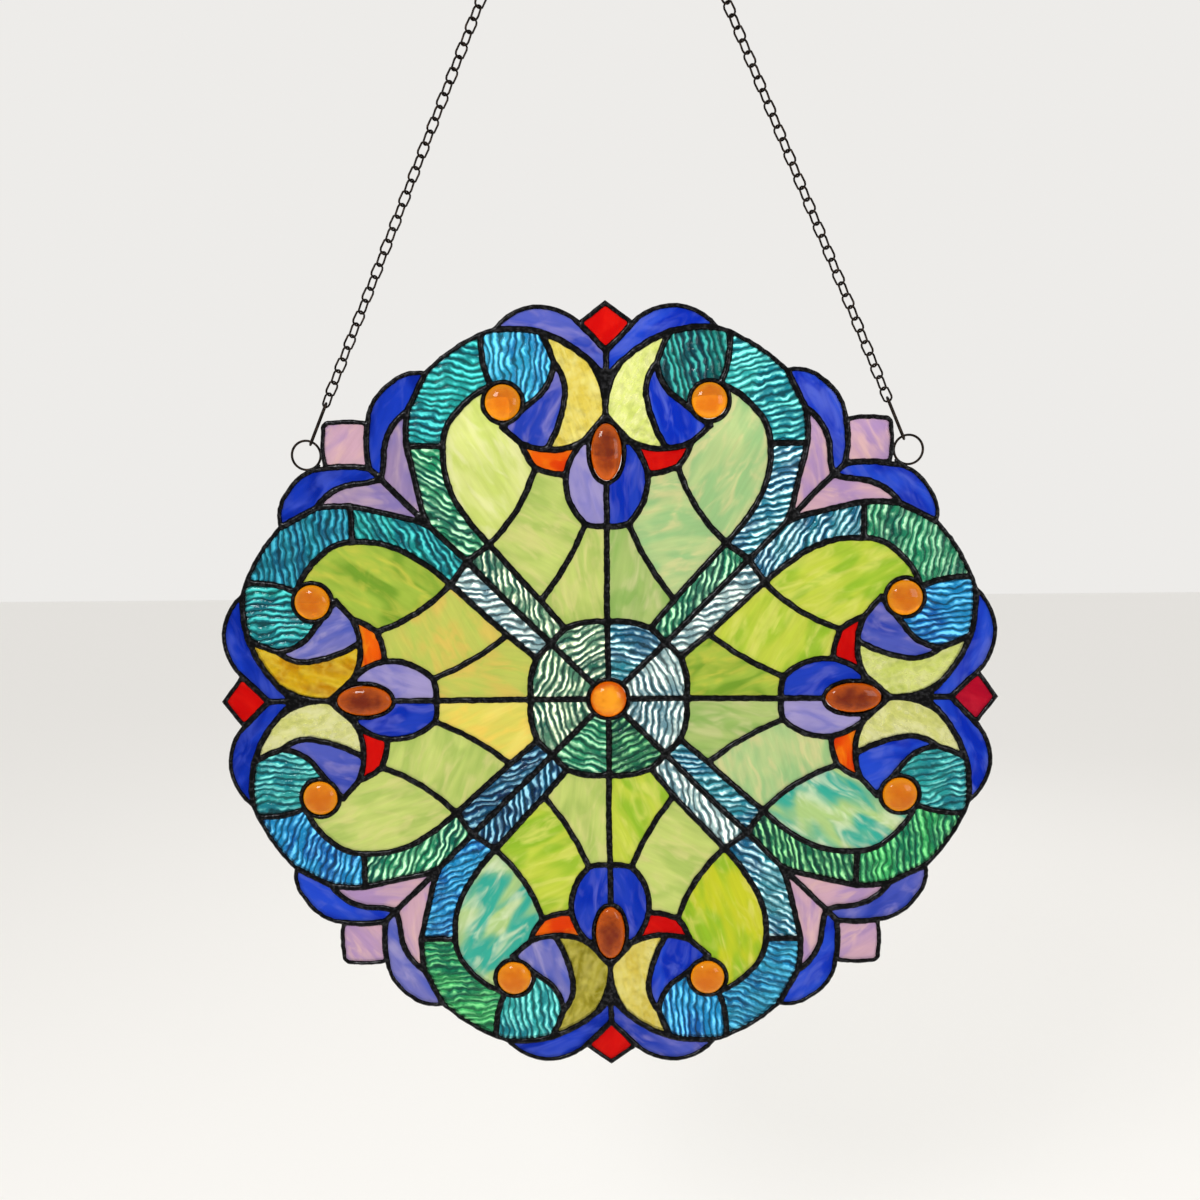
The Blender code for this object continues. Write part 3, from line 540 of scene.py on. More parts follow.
@dataclass(frozen=True)
class Drawing:
    """The drawing at the panel's own size."""

    radius: float
    centre_height: float
    solder_width: float = 3.4 * MM
    rim_width: float = 2.4 * MM
    bezel: float = 2.6 * MM
    arc_step: float = math.radians(9)
    glass: float = 3.0 * MM

    def scaled(self, points: tuple) -> Line:
        """Drawn points in metres."""
        return [Vector(point) * self.radius / DRAWN_RADIUS for point in points]

    def side(self, name: str, inset: float) -> Line:
        """The edge of the glass along a named line of solder.

        Args:
            name: The line's name; a minus sign before it turns it round.
            inset: How far beyond the solder's edge the line is moved to its left.

        Returns:
            The edge, its arcs as points.
        """
        plain = name.lstrip("-")
        rim = plain in RIM_LINES
        points = self.scaled(RIM_LINES[plain] if rim else SOLDER_LINES[plain])
        line = points[:1]
        if len(points) == 2:
            line = points
        else:
            for start, way, end in zip(points[0::2], points[1::2], points[2::2]):
                line = line + arc_through(start, way, end, self.arc_step)[1:]
        if name != plain:
            line = line[::-1]
        return shifted(line, (self.rim_width if rim else self.solder_width) / 2 + inset)

    def opening(self, shape: TileShape, inset: float = 0.0) -> Line:
        """The closed outline of a piece of glass, drawn in from the lines round it.

        Args:
            shape: The piece.
            inset: How far inside the solder's edge the outline runs; below zero it runs under it.

        Returns:
            The outline, turning to the left.
        """
        lines = [self.side(name, inset) for name in shape.lines]
        if shape.mirror:
            axis = self.scaled(shape.mirror)
            lines = [axis] + lines + [axis]
            for i in range(len(lines) - 1):
                lines[i], lines[i + 1] = met(lines[i], lines[i + 1])
            half = [point for line in lines[1:-1] for point in line]
            over = [(-p.x, p.y) if shape.mirror is LOBE_MIRROR else (p.y, p.x) for p in half[::-1]]
            loop = half + [Vector(point) for point in over]
        else:
            for i in range(len(lines)):
                lines[i - 1], lines[i] = met(lines[i - 1], lines[i])
            loop = [point for line in lines for point in line]
        return eased([point for i, point in enumerate(loop) if (point - loop[i - 1]).length > 0.15 * MM])

    def slice_outline(self, step: float) -> Line:
        """The outline of half a lobe with half a corner: the rim, the diagonal and the axis.

        Args:
            step: The longest distance between two points.

        Returns:
            The closed outline.
        """
        rim: Line = []
        for name in RIM_LINES:
            line = self.side(name, 0.0)
            if rim:
                rim, line = met(rim, line)
            rim = rim + line[1:] if rim else line
        rim = met(rim, self.scaled(CORNER_MIRROR[::-1]))[0]
        rim = met(self.scaled(LOBE_MIRROR), rim)[1]
        rim[0].x = 0.0
        rim[-1].x = rim[-1].y = (rim[-1].x + rim[-1].y) / 2
        hub = Vector((0.0, 0.0))
        apart = [p for i, p in enumerate(rim) if not i or (p - rim[i - 1]).length > 0.1 * MM]
        rim = filled_in(apart, step, False)
        diagonal = filled_in([rim[-1], hub], step, False)
        axis = filled_in([hub, rim[0]], step, False)
        return rim + diagonal[1:] + axis[1:-1]

    def jewel_loops(self, grow: float, sides: int = 40) -> list[Line]:
        """An oval round each jewel of the slice.

        Args:
            grow: How much further out than the jewel's edge it runs.
            sides: How many points it has.

        Returns:
            One oval for each jewel.
        """
        loops = []
        for jewel in (ROUND, OVAL, CENTRE):
            centre = self.scaled((jewel.centre,))[0]
            loops.append(oval(centre, jewel.width + 2 * grow, jewel.length + 2 * grow, sides))
        return loops


@dataclass
class Sheet:
    """A flat net of triangles in the drawing's plane, with its open edges."""

    points: np.ndarray
    faces: np.ndarray
    edges: list[tuple[int, int]]

    @classmethod
    def cut(cls, loops: list[Line], extra: Line, keep: Callable[[np.ndarray], np.ndarray]) -> "Sheet":
        """Fill loops with triangles and keep those whose middles pass a test.

        Args:
            loops: Closed lines that edges must follow.
            extra: More points inside.
            keep: Says which of the middles stay.

        Returns:
            The net of triangles.
        """
        points: Line = []
        edges = []
        for loop in loops:
            first = len(points)
            points += loop
            edges += [(first + i, first + (i + 1) % len(loop)) for i in range(len(loop))]
        found = delaunay_2d_cdt(points + extra, edges, [], 0, 1e-7, False)
        places = np.array([tuple(point) for point in found[0]])
        faces = np.array([face for face in found[2] if len(face) == 3])
        faces = faces[keep(places[faces].mean(axis=1))]
        used, back = np.unique(faces, return_inverse=True)
        faces = back.reshape(-1, 3)
        ways = {(a, b) for face in faces.tolist() for a, b in zip(face, face[1:] + face[:1])}
        open_edges = [(a, b) for a, b in ways if (b, a) not in ways]
        return cls(places[used], faces, open_edges)


def point_tree(points: np.ndarray | Line) -> KDTree:
    """Make a search tree of flat points.

    Args:
        points: The points.

    Returns:
        The tree, which gives back each point's number.
    """
    tree = KDTree(len(points))
    for i, point in enumerate(points):
        tree.insert((*point, 0.0), i)
    tree.balance()
    return tree


def closed_slab(front: Sheet, back: Sheet, front_y: np.ndarray, back_y: np.ndarray,
                wall: list[tuple[int, int]]) -> tuple[np.ndarray, np.ndarray]:
    """Join a front and a back net that share their edges by a wall.

    Args:
        front: The net that faces -Y.
        back: The net that faces +Y.
        front_y: Depth of each front point.
        back_y: Depth of each back point.
        wall: The front net's open edges that get a wall.

    Returns:
        Corners as (across, depth, up) and triangles.
    """
    corners = np.concatenate([
        np.stack([front.points[:, 0], front_y, front.points[:, 1]], 1),
        np.stack([back.points[:, 0], back_y, back.points[:, 1]], 1),
    ])
    offset = len(front.points)
    behind = point_tree(back.points)
    walls = []
    for a, b in wall:
        under_a, under_b = (behind.find((*front.points[i], 0.0))[1] + offset for i in (a, b))
        walls += [(b, a, under_a), (b, under_a, under_b)]
    faces = [front.faces, back.faces[:, ::-1] + offset]
    if walls:
        faces.append(np.array(walls))
    return corners, np.concatenate(faces)


def placed(corners: np.ndarray, faces: np.ndarray, quarter: int,
           flip: bool) -> tuple[np.ndarray, np.ndarray]:
    """Bring corners and triangles of the drawn slice to another lobe.

    Args:
        corners: The corners, from the panel's centre.
        faces: The triangles.
        quarter: How many quarter turns clockwise they make.
        flip: Whether they are mirrored in the lobe's axis first.

    Returns:
        The new corners and triangles.
    """
    corners = corners.copy()
    if flip:
        corners[:, 0] *= -1
        faces = faces[:, ::-1]
    for _ in range(quarter):
        across = corners[:, 0].copy()
        corners[:, 0] = corners[:, 2]
        corners[:, 2] = -across
    return corners, faces


@dataclass(frozen=True)
class Wander:
    """One size of unevenness in the panel's plane: how long its waves are and how far they reach."""

    wave: float
    reach: float
    layer: float


SLOW_WANDER = Wander(38 * MM, 0.55 * MM, 0.0)
QUICK_WANDER = Wander(7 * MM, 0.2 * MM, 0.3)
RAGGED_WAVE = 2.6 * MM
RAGGED_LAYER = 0.7
STEADY_SIDE = 9 * MM
STEADY_RIM = 3 * MM


def wandered(corners: np.ndarray, drawing: Drawing, ragged: float = 0.0) -> np.ndarray:
    """Move corners a little in the panel's plane, as a hand-cut panel's lines wander.

    Args:
        corners: The corners, from the panel's centre.
        drawing: The drawing.
        ragged: How far they stray besides, each few millimetres another way.

    Returns:
        The moved corners.
    """
    moved = corners.copy()
    wanders = (SLOW_WANDER, QUICK_WANDER, Wander(RAGGED_WAVE, ragged, RAGGED_LAYER))
    for i, (across, depth, up) in enumerate(corners):
        hold = min(1.0, max(0.0, (drawing.radius - max(abs(across), abs(up))) / STEADY_SIDE))
        hold *= min(1.0, max(0.0, (drawing.radius - math.hypot(across, up)) / STEADY_RIM))
        for one in wanders:
            shift = noise.noise_vector(Vector((across, one.layer, up)) / one.wave) * one.reach
            moved[i, 0] += hold * shift.x
            moved[i, 2] += hold * shift.z
    return moved


def new_piece(name: str, mesh: bpy.types.Mesh, material: bpy.types.Material,
              nodes: tuple[str, ...]) -> bpy.types.Object:
    """Put a finished mesh in the scene as a piece of the panel.

    Args:
        name: The piece's name.
        mesh: Its mesh, already in place.
        material: Its material.
        nodes: The model's nodes that it stands for.

    Returns:
        The new object.
    """
    mesh.name = name
    mesh.materials.clear()
    mesh.materials.append(material)
    piece = bpy.data.objects.new(name, mesh)
    bpy.context.scene.collection.objects.link(piece)
    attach(piece, BODY)
    if nodes:
        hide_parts(*nodes)
    LOG.info("%s: %d faces", name, len(mesh.polygons))
    return piece


def mesh_of(corners: np.ndarray, faces: np.ndarray, centre_height: float,
            sharp: float) -> bpy.types.Mesh:
    """Make a smooth mesh at the panel's height.

    Args:
        corners: Its corners, from the panel's centre.
        faces: Its triangles.
        centre_height: The height of the panel's centre.
        sharp: The angle in degrees from which an edge stays sharp.

    Returns:
        The mesh.
    """
    mesh = bpy.data.meshes.new("panel_mesh")
    places = corners + np.array((0.0, 0.0, centre_height))
    mesh.from_pydata(places.tolist(), [], faces.tolist())
    mesh.shade_smooth()
    mesh.set_sharp_from_angle(angle=math.radians(sharp))
    return mesh


class Tree:
    """A node tree under construction."""

    def __init__(self, tree: bpy.types.NodeTree) -> None:
        """Start on a tree."""
        self.tree = tree

    def add(self, kind: str, inputs: dict | None = None, **settings: object) -> bpy.types.Node:
        """Add a node.

        Args:
            kind: Its type.
            inputs: Values or output sockets for its inputs, by name or number.
            **settings: Its own settings.

        Returns:
            The node.
        """
        node = self.tree.nodes.new(kind)
        for key, value in settings.items():
            setattr(node, key, value)
        for key, value in (inputs or {}).items():
            socket = node.inputs[key]
            if isinstance(value, bpy.types.NodeSocket):
                self.tree.links.new(value, socket)
            else:
                socket.default_value = value
        return node

    def math(self, operation: str, *values: object) -> bpy.types.NodeSocket:
        """A Math node's result."""
        return self.add("ShaderNodeMath", dict(enumerate(values)), operation=operation).outputs[0]

    def mix(self, factor: object, first: object, second: object,
            blend: str = "MIX") -> bpy.types.NodeSocket:
        """Two colours mixed by a factor."""
        node = self.add("ShaderNodeMix", {0: factor, 6: first, 7: second}, data_type="RGBA", blend_type=blend)
        return node.outputs[2]

    def ramp(self, value: bpy.types.NodeSocket, low: float, high: float) -> bpy.types.NodeSocket:
        """A value stretched so that low gives 0 and high gives 1, smoothly."""
        node = self.add("ShaderNodeMapRange", {0: value, 1: low, 2: high}, interpolation_type="SMOOTHSTEP")
        return node.outputs[0]


def new_group(name: str, inputs: dict[str, tuple[str, object]], outputs: dict[str, str]) -> Tree:
    """A shader node group with named sockets.

    Args:
        name: The group's name.
        inputs: Socket type and default value of each input.
        outputs: Socket type of each output.

    Returns:
        The group's tree, with its input and output nodes.
    """
    group = bpy.data.node_groups.new(name, "ShaderNodeTree")
    for key, (kind, value) in inputs.items():
        socket = group.interface.new_socket(key, in_out="INPUT", socket_type=kind)
        if value is not None:
            socket.default_value = value
    for key, kind in outputs.items():
        group.interface.new_socket(key, in_out="OUTPUT", socket_type=kind)
    return Tree(group)


def streak_group() -> bpy.types.NodeTree:
    """Streaks and wisps of colour that run along a sheet of glass.

    Returns:
        The node group.
    """
    tree = new_group("glass_streaks", {
        "Flow": ("NodeSocketVector", None), "Body": ("NodeSocketColor", None),
        "Streak": ("NodeSocketColor", None), "Wisp": ("NodeSocketColor", None),
        "Streak Width": ("NodeSocketFloat", 9 * MM), "Wisp Share": ("NodeSocketFloat", 0.5),
    }, {"Color": "NodeSocketColor"})
    given = tree.add("NodeGroupInput").outputs
    size = tree.math("DIVIDE", 1.0, given["Streak Width"])
    drawn_out = tree.add("ShaderNodeVectorMath", {0: given["Flow"], 1: (0.4, 1.0, 1.0)},
                         operation="MULTIPLY")
    fibres = tree.add("ShaderNodeVectorMath", {0: given["Flow"], 1: (0.1, 1.0, 1.0)}, operation="MULTIPLY")
    broad = tree.add("ShaderNodeTexNoise", {"Vector": drawn_out.outputs[0], "Scale": size, "Detail": 1.5,
                                            "Distortion": 0.7})
    cloud = tree.add("ShaderNodeTexNoise", {
        "Vector": drawn_out.outputs[0], "Scale": tree.math("MULTIPLY", size, 1.7), "Detail": 2.5,
        "Distortion": 1.0})
    fine = tree.add("ShaderNodeTexNoise", {
        "Vector": fibres.outputs[0], "Scale": tree.math("MULTIPLY", size, 6.0), "Detail": 3.0,
        "Distortion": 0.5})
    broad_mask = tree.ramp(broad.outputs[0], 0.38, 0.62)
    wisp_mask = tree.math("MULTIPLY", tree.ramp(cloud.outputs[0], 0.42, 0.74), given["Wisp Share"])
    colour = tree.mix(broad_mask, given["Body"], given["Streak"])
    colour = tree.mix(wisp_mask, colour, given["Wisp"])
    shade = tree.math("ADD", 0.86, tree.math("MULTIPLY", fine.outputs[0], 0.28))
    tinted = tree.add("ShaderNodeCombineColor", {0: shade, 1: shade, 2: shade})
    colour = tree.mix(1.0, colour, tinted.outputs[0], "MULTIPLY")
    out = tree.add("NodeGroupOutput")
    tree.tree.links.new(colour, out.inputs["Color"])
    return tree.tree


def ripple_group() -> bpy.types.NodeTree:
    """The crests and hollows of rippled glass: their height, a mask for painted glints on patches of the
    crests, and a mask for painted shade in the hollows.

    Returns:
        The node group.
    """
    tree = new_group("glass_ripples", {
        "Flow": ("NodeSocketVector", None), "Spacing": ("NodeSocketFloat", 3 * MM),
        "Wander": ("NodeSocketFloat", 8.0),
    }, {"Height": "NodeSocketFloat", "Glint": "NodeSocketFloat", "Hollow": "NodeSocketFloat"})
    given = tree.add("NodeGroupInput").outputs
    scale = tree.math("DIVIDE", math.tau / 20, given["Spacing"])
    wave = tree.add("ShaderNodeTexWave", {
        "Vector": given["Flow"], "Scale": scale, "Distortion": given["Wander"], **RIPPLE_DETAIL},
        bands_direction="Y")
    patch = tree.add("ShaderNodeTexNoise", {
        "Vector": given["Flow"], "Scale": tree.math("MULTIPLY", scale, 1.6), "Detail": 2.0})
    crest = tree.ramp(wave.outputs[1], 0.62, 0.92)
    glint = tree.math("MULTIPLY", crest, tree.ramp(patch.outputs[0], 0.36, 0.6))
    hollow = tree.math("SUBTRACT", 1.0, tree.ramp(wave.outputs[1], 0.04, 0.4))
    out = tree.add("NodeGroupOutput")
    tree.tree.links.new(wave.outputs[1], out.inputs["Height"])
    tree.tree.links.new(glint, out.inputs["Glint"])
    tree.tree.links.new(hollow, out.inputs["Hollow"])
    return tree.tree


def grain_group() -> bpy.types.NodeTree:
    """Small uneven spots of a surface, as a height and a roughness.

    Returns:
        The node group.
    """
    tree = new_group("surface_grain", {
        "Size": ("NodeSocketFloat", 2 * MM), "Roughness Low": ("NodeSocketFloat", 0.1),
        "Roughness High": ("NodeSocketFloat", 0.3),
    }, {"Height": "NodeSocketFloat", "Roughness": "NodeSocketFloat"})
    given = tree.add("NodeGroupInput").outputs
    place = tree.add("ShaderNodeTexCoord").outputs["Object"]
    scale = tree.math("DIVIDE", 1.0, given["Size"])
    fine = tree.add("ShaderNodeTexNoise", {"Vector": place, "Scale": scale, "Detail": 3.0})
    wide = tree.add("ShaderNodeTexNoise", {"Vector": place, "Scale": tree.math("MULTIPLY", scale, 0.22),
                                           "Detail": 2.0})
    span = tree.math("SUBTRACT", given["Roughness High"], given["Roughness Low"])
    rough = tree.math("ADD", given["Roughness Low"], tree.math("MULTIPLY", span, wide.outputs[0]))
    out = tree.add("NodeGroupOutput")
    tree.tree.links.new(fine.outputs[0], out.inputs["Height"])
    tree.tree.links.new(rough, out.inputs["Roughness"])
    return tree.tree


@dataclass(frozen=True)
class GlassFinish:
    """How one kind of flat glass takes the light: painted shade darkens the hollows of its relief, painted
    glints lighten its crests, and a painted glow lights its own colour.
    """

    name: str
    transmission: float
    roughness: tuple[float, float]
    streak_width: float
    wisp_share: float
    # How far the hollows of the relief are darkened by painted shade, and the crests lightened by painted
    # glints:
    shade: float
    light: float
    grain_size: float
    grain_height: float
    rippled: bool = False
    # The share of its own colour that the glass gives off as a painted glow.
    painted_glow: float = 0.06
    specular: float = 0.2
    ior: float = 1.2

    def make(self, streaks: bpy.types.NodeTree, grain: bpy.types.NodeTree,
             ripples: bpy.types.NodeTree) -> bpy.types.Material:
        """Build the material.

        Args:
            streaks: The group of streaks and wisps.
            grain: The group of small uneven spots.
            ripples: The group of crests and hollows.

        Returns:
            The material; each piece's own colours come from its mesh.
        """
        material = bpy.data.materials.new(self.name)
        material.use_nodes = True
        tree = Tree(material.node_tree)
        link = material.node_tree.links.new
        shader = material.node_tree.nodes["Principled BSDF"]
        read = {key: tree.add("ShaderNodeAttribute", attribute_name=key)
                for key in ("flow", "body", "streak", "wisp_and_glint", "ridge")}
        streak = tree.add("ShaderNodeGroup", node_tree=streaks)
        for key, name in (("Flow", "flow"), ("Body", "body"), ("Streak", "streak"), ("Wisp", "wisp_and_glint")):
            link(read[name].outputs["Vector" if key == "Flow" else "Color"], streak.inputs[key])
        streak.inputs["Streak Width"].default_value = self.streak_width
        streak.inputs["Wisp Share"].default_value = self.wisp_share
        spots = tree.add("ShaderNodeGroup", node_tree=grain)
        spots.inputs["Size"].default_value = self.grain_size
        spots.inputs["Roughness Low"].default_value = self.roughness[0]
        spots.inputs["Roughness High"].default_value = self.roughness[1]
        height = spots.outputs["Height"]
        # Rippled glass takes its painted shade and glints from its ripples, other glass from the height of
        # its relief.
        if self.rippled:
            ripple_marks = tree.add("ShaderNodeGroup", node_tree=ripples)
            link(read["flow"].outputs["Vector"], ripple_marks.inputs["Flow"])
            ripple_marks.inputs["Spacing"].default_value = RIPPLE_SPACING
            ripple_marks.inputs["Wander"].default_value = RIPPLE_WANDER
            low, high = ripple_marks.outputs["Hollow"], ripple_marks.outputs["Glint"]
            height = tree.math("ADD", height, tree.math("MULTIPLY", ripple_marks.outputs["Height"], 4.0))
        else:
            ridge = read["ridge"].outputs["Fac"]
            low = tree.math("SUBTRACT", 1.0, tree.ramp(ridge, 0.05, 0.5))
            high = tree.ramp(ridge, 0.6, 0.97)
        # Painted shade: the hollows are darkened towards near black.
        colour = tree.mix(tree.math("MULTIPLY", low, self.shade), streak.outputs["Color"],
                          (0.0, 0.012, 0.018, 1.0))
        # Painted glint: the crests take the pale third colour.
        colour = tree.mix(tree.math("MULTIPLY", high, self.light), colour, read["wisp_and_glint"].outputs["Color"])
        # Painted glow: the emission is a little of the colour everywhere and, on rippled glass, the glints at
        # full.
        lit = tree.mix(tree.math("MULTIPLY", high, self.light if self.rippled else 0.0),
                       tree.mix(1.0 - self.painted_glow, colour, (0.0, 0.0, 0.0, 1.0)), read["wisp_and_glint"].outputs["Color"])
        link(colour, shader.inputs["Base Color"])
        link(lit, shader.inputs["Emission Color"])
        link(spots.outputs["Roughness"], shader.inputs["Roughness"])
        bump = tree.add("ShaderNodeBump", {"Height": height, "Distance": self.grain_height, "Strength": 0.6})
        link(bump.outputs[0], shader.inputs["Normal"])
        shader.inputs["Emission Strength"].default_value = 0.5
        shader.inputs["Transmission Weight"].default_value = self.transmission
        shader.inputs["IOR"].default_value = self.ior
        shader.inputs["Specular IOR Level"].default_value = self.specular
        return material


@dataclass(frozen=True)
class JewelFinish:
    """Clear domed glass, its colour running from its heart to its edge, blurred by a cloud: painted light and
    shade of a lens, as if the dome bent the light behind it, and a painted glow.
    """

    name: str
    # The colours painted at the heart and at the edge, as the lens would light and shade them.
    heart: Colour
    edge: Colour
    # How strongly the jewel gives off its own colour as a painted glow.
    painted_glow: float = 0.05

    def make(self) -> bpy.types.Material:
        """Build the material.

        Returns:
            The material.
        """
        material = bpy.data.materials.new(self.name)
        material.use_nodes = True
        tree = Tree(material.node_tree)
        shader = material.node_tree.nodes["Principled BSDF"]
        place = tree.add("ShaderNodeTexCoord").outputs["Object"]
        cloud = tree.add("ShaderNodeTexNoise", {"Vector": place, "Scale": 1 / (5 * MM), "Detail": 3.0})
        dome = tree.add("ShaderNodeAttribute", attribute_name="dome").outputs["Fac"]
        # Painted light and shade of the lens: the heart and edge colours, mixed by height on the dome and a
        # cloud.
        mask = tree.ramp(tree.math("ADD", dome, tree.math("MULTIPLY", cloud.outputs[0], 0.9)), 0.75, 1.55)
        colour = tree.mix(mask, (*self.edge, 1.0), (*self.heart, 1.0))
        tree.tree.links.new(colour, shader.inputs["Base Color"])
        tree.tree.links.new(colour, shader.inputs["Emission Color"])
        shader.inputs["Emission Strength"].default_value = self.painted_glow
        shader.inputs["Roughness"].default_value = 0.04
        shader.inputs["Transmission Weight"].default_value = 0.8
        shader.inputs["IOR"].default_value = 1.32
        shader.inputs["Specular IOR Level"].default_value = 0.2
        return material


@dataclass(frozen=True)
class MetalFinish:
    """Dark metal with uneven gloss."""

    name: str
    dark: Colour
    worn: Colour
    metallic: float
    roughness: tuple[float, float]
    grain_size: float
    grain_height: float

    def make(self, grain: bpy.types.NodeTree) -> bpy.types.Material:
        """Build the material.

        Args:
            grain: The group of small uneven spots.

        Returns:
            The material.
        """
        material = bpy.data.materials.new(self.name)
        material.use_nodes = True
        tree = Tree(material.node_tree)
        shader = material.node_tree.nodes["Principled BSDF"]
        spots = tree.add("ShaderNodeGroup", node_tree=grain)
        spots.inputs["Size"].default_value = self.grain_size
        spots.inputs["Roughness Low"].default_value = self.roughness[0]
        spots.inputs["Roughness High"].default_value = self.roughness[1]
        mask = tree.ramp(spots.outputs["Height"], 0.45, 0.75)
        colour = tree.mix(mask, (*self.dark, 1.0), (*self.worn, 1.0))
        tree.tree.links.new(colour, shader.inputs["Base Color"])
        tree.tree.links.new(spots.outputs["Roughness"], shader.inputs["Roughness"])
        bump = tree.add("ShaderNodeBump", {"Height": spots.outputs["Height"], "Distance": self.grain_height,
                                           "Strength": 0.7})
        tree.tree.links.new(bump.outputs[0], shader.inputs["Normal"])
        shader.inputs["Metallic"].default_value = self.metallic
        return material


@dataclass
class SolderNet:
    """The net of solder lines: rounded beads front and back, with bezels round the jewels."""

    drawing: Drawing
    depth: float = 5.6 * MM
    foot: float = 1.4 * MM
    bead_width: float = 1.75 * MM
    step: float = 1.4 * MM
    ragged: float = 0.3 * MM
    mark_step: float = 0.3 * MM
    point_gap: float = 0.55 * MM
    axis_gap: float = 0.25 * MM
    diagonal_gap: float = 0.35 * MM
    lump_length: float = 6.5 * MM
    lump_share: float = 0.14
    back_layer: float = 0.5
    front_rows: tuple[float, ...] = (0.28 * MM, 0.85 * MM)
    back_rows: tuple[float, ...] = (0.6 * MM,)

    def keep(self, middles: np.ndarray) -> np.ndarray:
        """Tell which triangles are solder.

        Args:
            middles: The triangles' middles.

        Returns:
            One truth value for each triangle.
        """
        outline = self.drawing.slice_outline(self.step)
        glass = np.zeros(len(middles), bool)
        for shape in TILE_SHAPES.values():
            glass |= inside(middles, self.drawing.opening(shape))
        for loop in self.drawing.jewel_loops(self.drawing.bezel):
            glass &= ~inside(middles, loop)
        for loop in self.drawing.jewel_loops(0.0):
            glass |= inside(middles, loop)
        return inside(middles, outline) & ~glass

    def is_seam(self, a: np.ndarray, b: np.ndarray) -> bool:
        """Tell whether an edge lies where the slice's mirror image joins it.

        Args:
            a: One end of the edge.
            b: The other end.

        Returns:
            True on the lobe's axis and on the diagonal.
        """
        on_axis = abs(a[0]) < 1e-7 and abs(b[0]) < 1e-7
        on_diagonal = abs(a[0] - a[1]) < 1e-7 and abs(b[0] - b[1]) < 1e-7
        return on_axis or on_diagonal

    def bead(self, plain: Sheet, rows: tuple[float, ...]) -> tuple[Sheet, np.ndarray]:
        """Add rows of points along the solder's edges and find how far in each point lies.

        Args:
            plain: The slice cut along its edges alone.
            rows: How far in each row lies.

        Returns:
            The finer slice, and each point's distance from the nearest edge of solder.
        """
        rims = [(plain.points[a], plain.points[b]) for a, b in plain.edges
                if not self.is_seam(plain.points[a], plain.points[b])]
        marks = []
        for a, b in rims:
            count = max(1, math.ceil(np.linalg.norm(b - a) / self.mark_step))
            marks += [a + (b - a) * i / count for i in range(count + 1)]
        tree = point_tree(marks)
        extra: Line = []
        taken = set()
        for depth in (*rows, self.drawing.solder_width / 2):
            for a, b in rims:
                along = (b - a) / max(1e-9, np.linalg.norm(b - a))
                spot = (a + b) / 2 + np.array((-along[1], along[0])) * depth
                cell = tuple(np.round(spot / self.point_gap).astype(int))
                if cell in taken or tree.find((*spot, 0.0))[2] < 0.93 * depth:
                    continue
                if spot[0] < self.axis_gap or spot[1] - spot[0] < self.diagonal_gap:
                    continue
                taken.add(cell)
                extra.append(Vector(spot))
        loops = self.edge_loops()
        fine = Sheet.cut(loops, extra, self.keep)
        deep = np.array([tree.find((*point, 0.0))[2] for point in fine.points])
        return fine, np.where(deep < 0.02 * MM, 0.0, deep)

    def edge_loops(self) -> list[Line]:
        """Every line that the solder's edges follow in the slice.

        Returns:
            The closed lines.
        """
        drawing = self.drawing
        loops = [drawing.slice_outline(self.step)]
        loops += [filled_in(drawing.opening(shape), self.step) for shape in TILE_SHAPES.values()]
        return loops + drawing.jewel_loops(drawing.bezel) + drawing.jewel_loops(0.0)

    def rise(self, deep: np.ndarray, full: float) -> np.ndarray:
        """The bead's height over the glass at each distance from its edge."""
        share = np.clip(deep / self.bead_width, 0.0, 1.0)
        return full * np.sqrt(1 - (1 - share) ** 2)

    def build(self, material: bpy.types.Material) -> None:
        """Make the net and dress it.

        Args:
            material: The solder's material.
        """
        plain = Sheet.cut(self.edge_loops(), [], self.keep)
        front, front_deep = self.bead(plain, self.front_rows)
        back, back_deep = self.bead(plain, self.back_rows)
        full = self.depth / 2 - self.foot
        wall = [(a, b) for a, b in front.edges if not self.is_seam(front.points[a], front.points[b])]
        front_y = -self.foot - self.rise(front_deep, full)
        back_y = self.foot + self.rise(back_deep, full)
        corners, faces = closed_slab(front, back, front_y, back_y, wall)
        all_corners = []
        all_faces = []
        for quarter in range(4):
            for flip in (False, True):
                turned, turned_faces = placed(corners, faces, quarter, flip)
                all_faces.append(turned_faces + sum(len(c) for c in all_corners))
                all_corners.append(turned)
        corners = self.lumpy(np.concatenate(all_corners))
        mesh = mesh_of(wandered(corners, self.drawing, self.ragged), np.concatenate(all_faces),
                       self.drawing.centre_height, 65)
        edit = bmesh.new()
        edit.from_mesh(mesh)
        bmesh.ops.remove_doubles(edit, verts=edit.verts, dist=2e-6)
        bmesh.ops.recalc_face_normals(edit, faces=edit.faces)
        edit.to_mesh(mesh)
        edit.free()
        mesh.shade_smooth()
        mesh.set_sharp_from_angle(angle=math.radians(70))
        new_piece("solder_net", mesh, material, ("lead_lines",))

    def lumpy(self, corners: np.ndarray) -> np.ndarray:
        """Make the bead's height uneven, as solder runs.

        Args:
            corners: The net's corners.

        Returns:
            The moved corners.
        """
        moved = corners.copy()
        for i, (across, depth, up) in enumerate(corners):
            over = abs(depth) - self.foot
            if over <= 0.0:
                continue
            layer = self.back_layer if depth > 0 else 0.0
            lump = 2 * noise.noise(Vector((across, layer, up)) / self.lump_length)
            share = 1 - self.lump_share + self.lump_share * min(1.0, max(-1.0, lump))
            moved[i, 1] = math.copysign(self.foot + over * share, depth)
        return moved


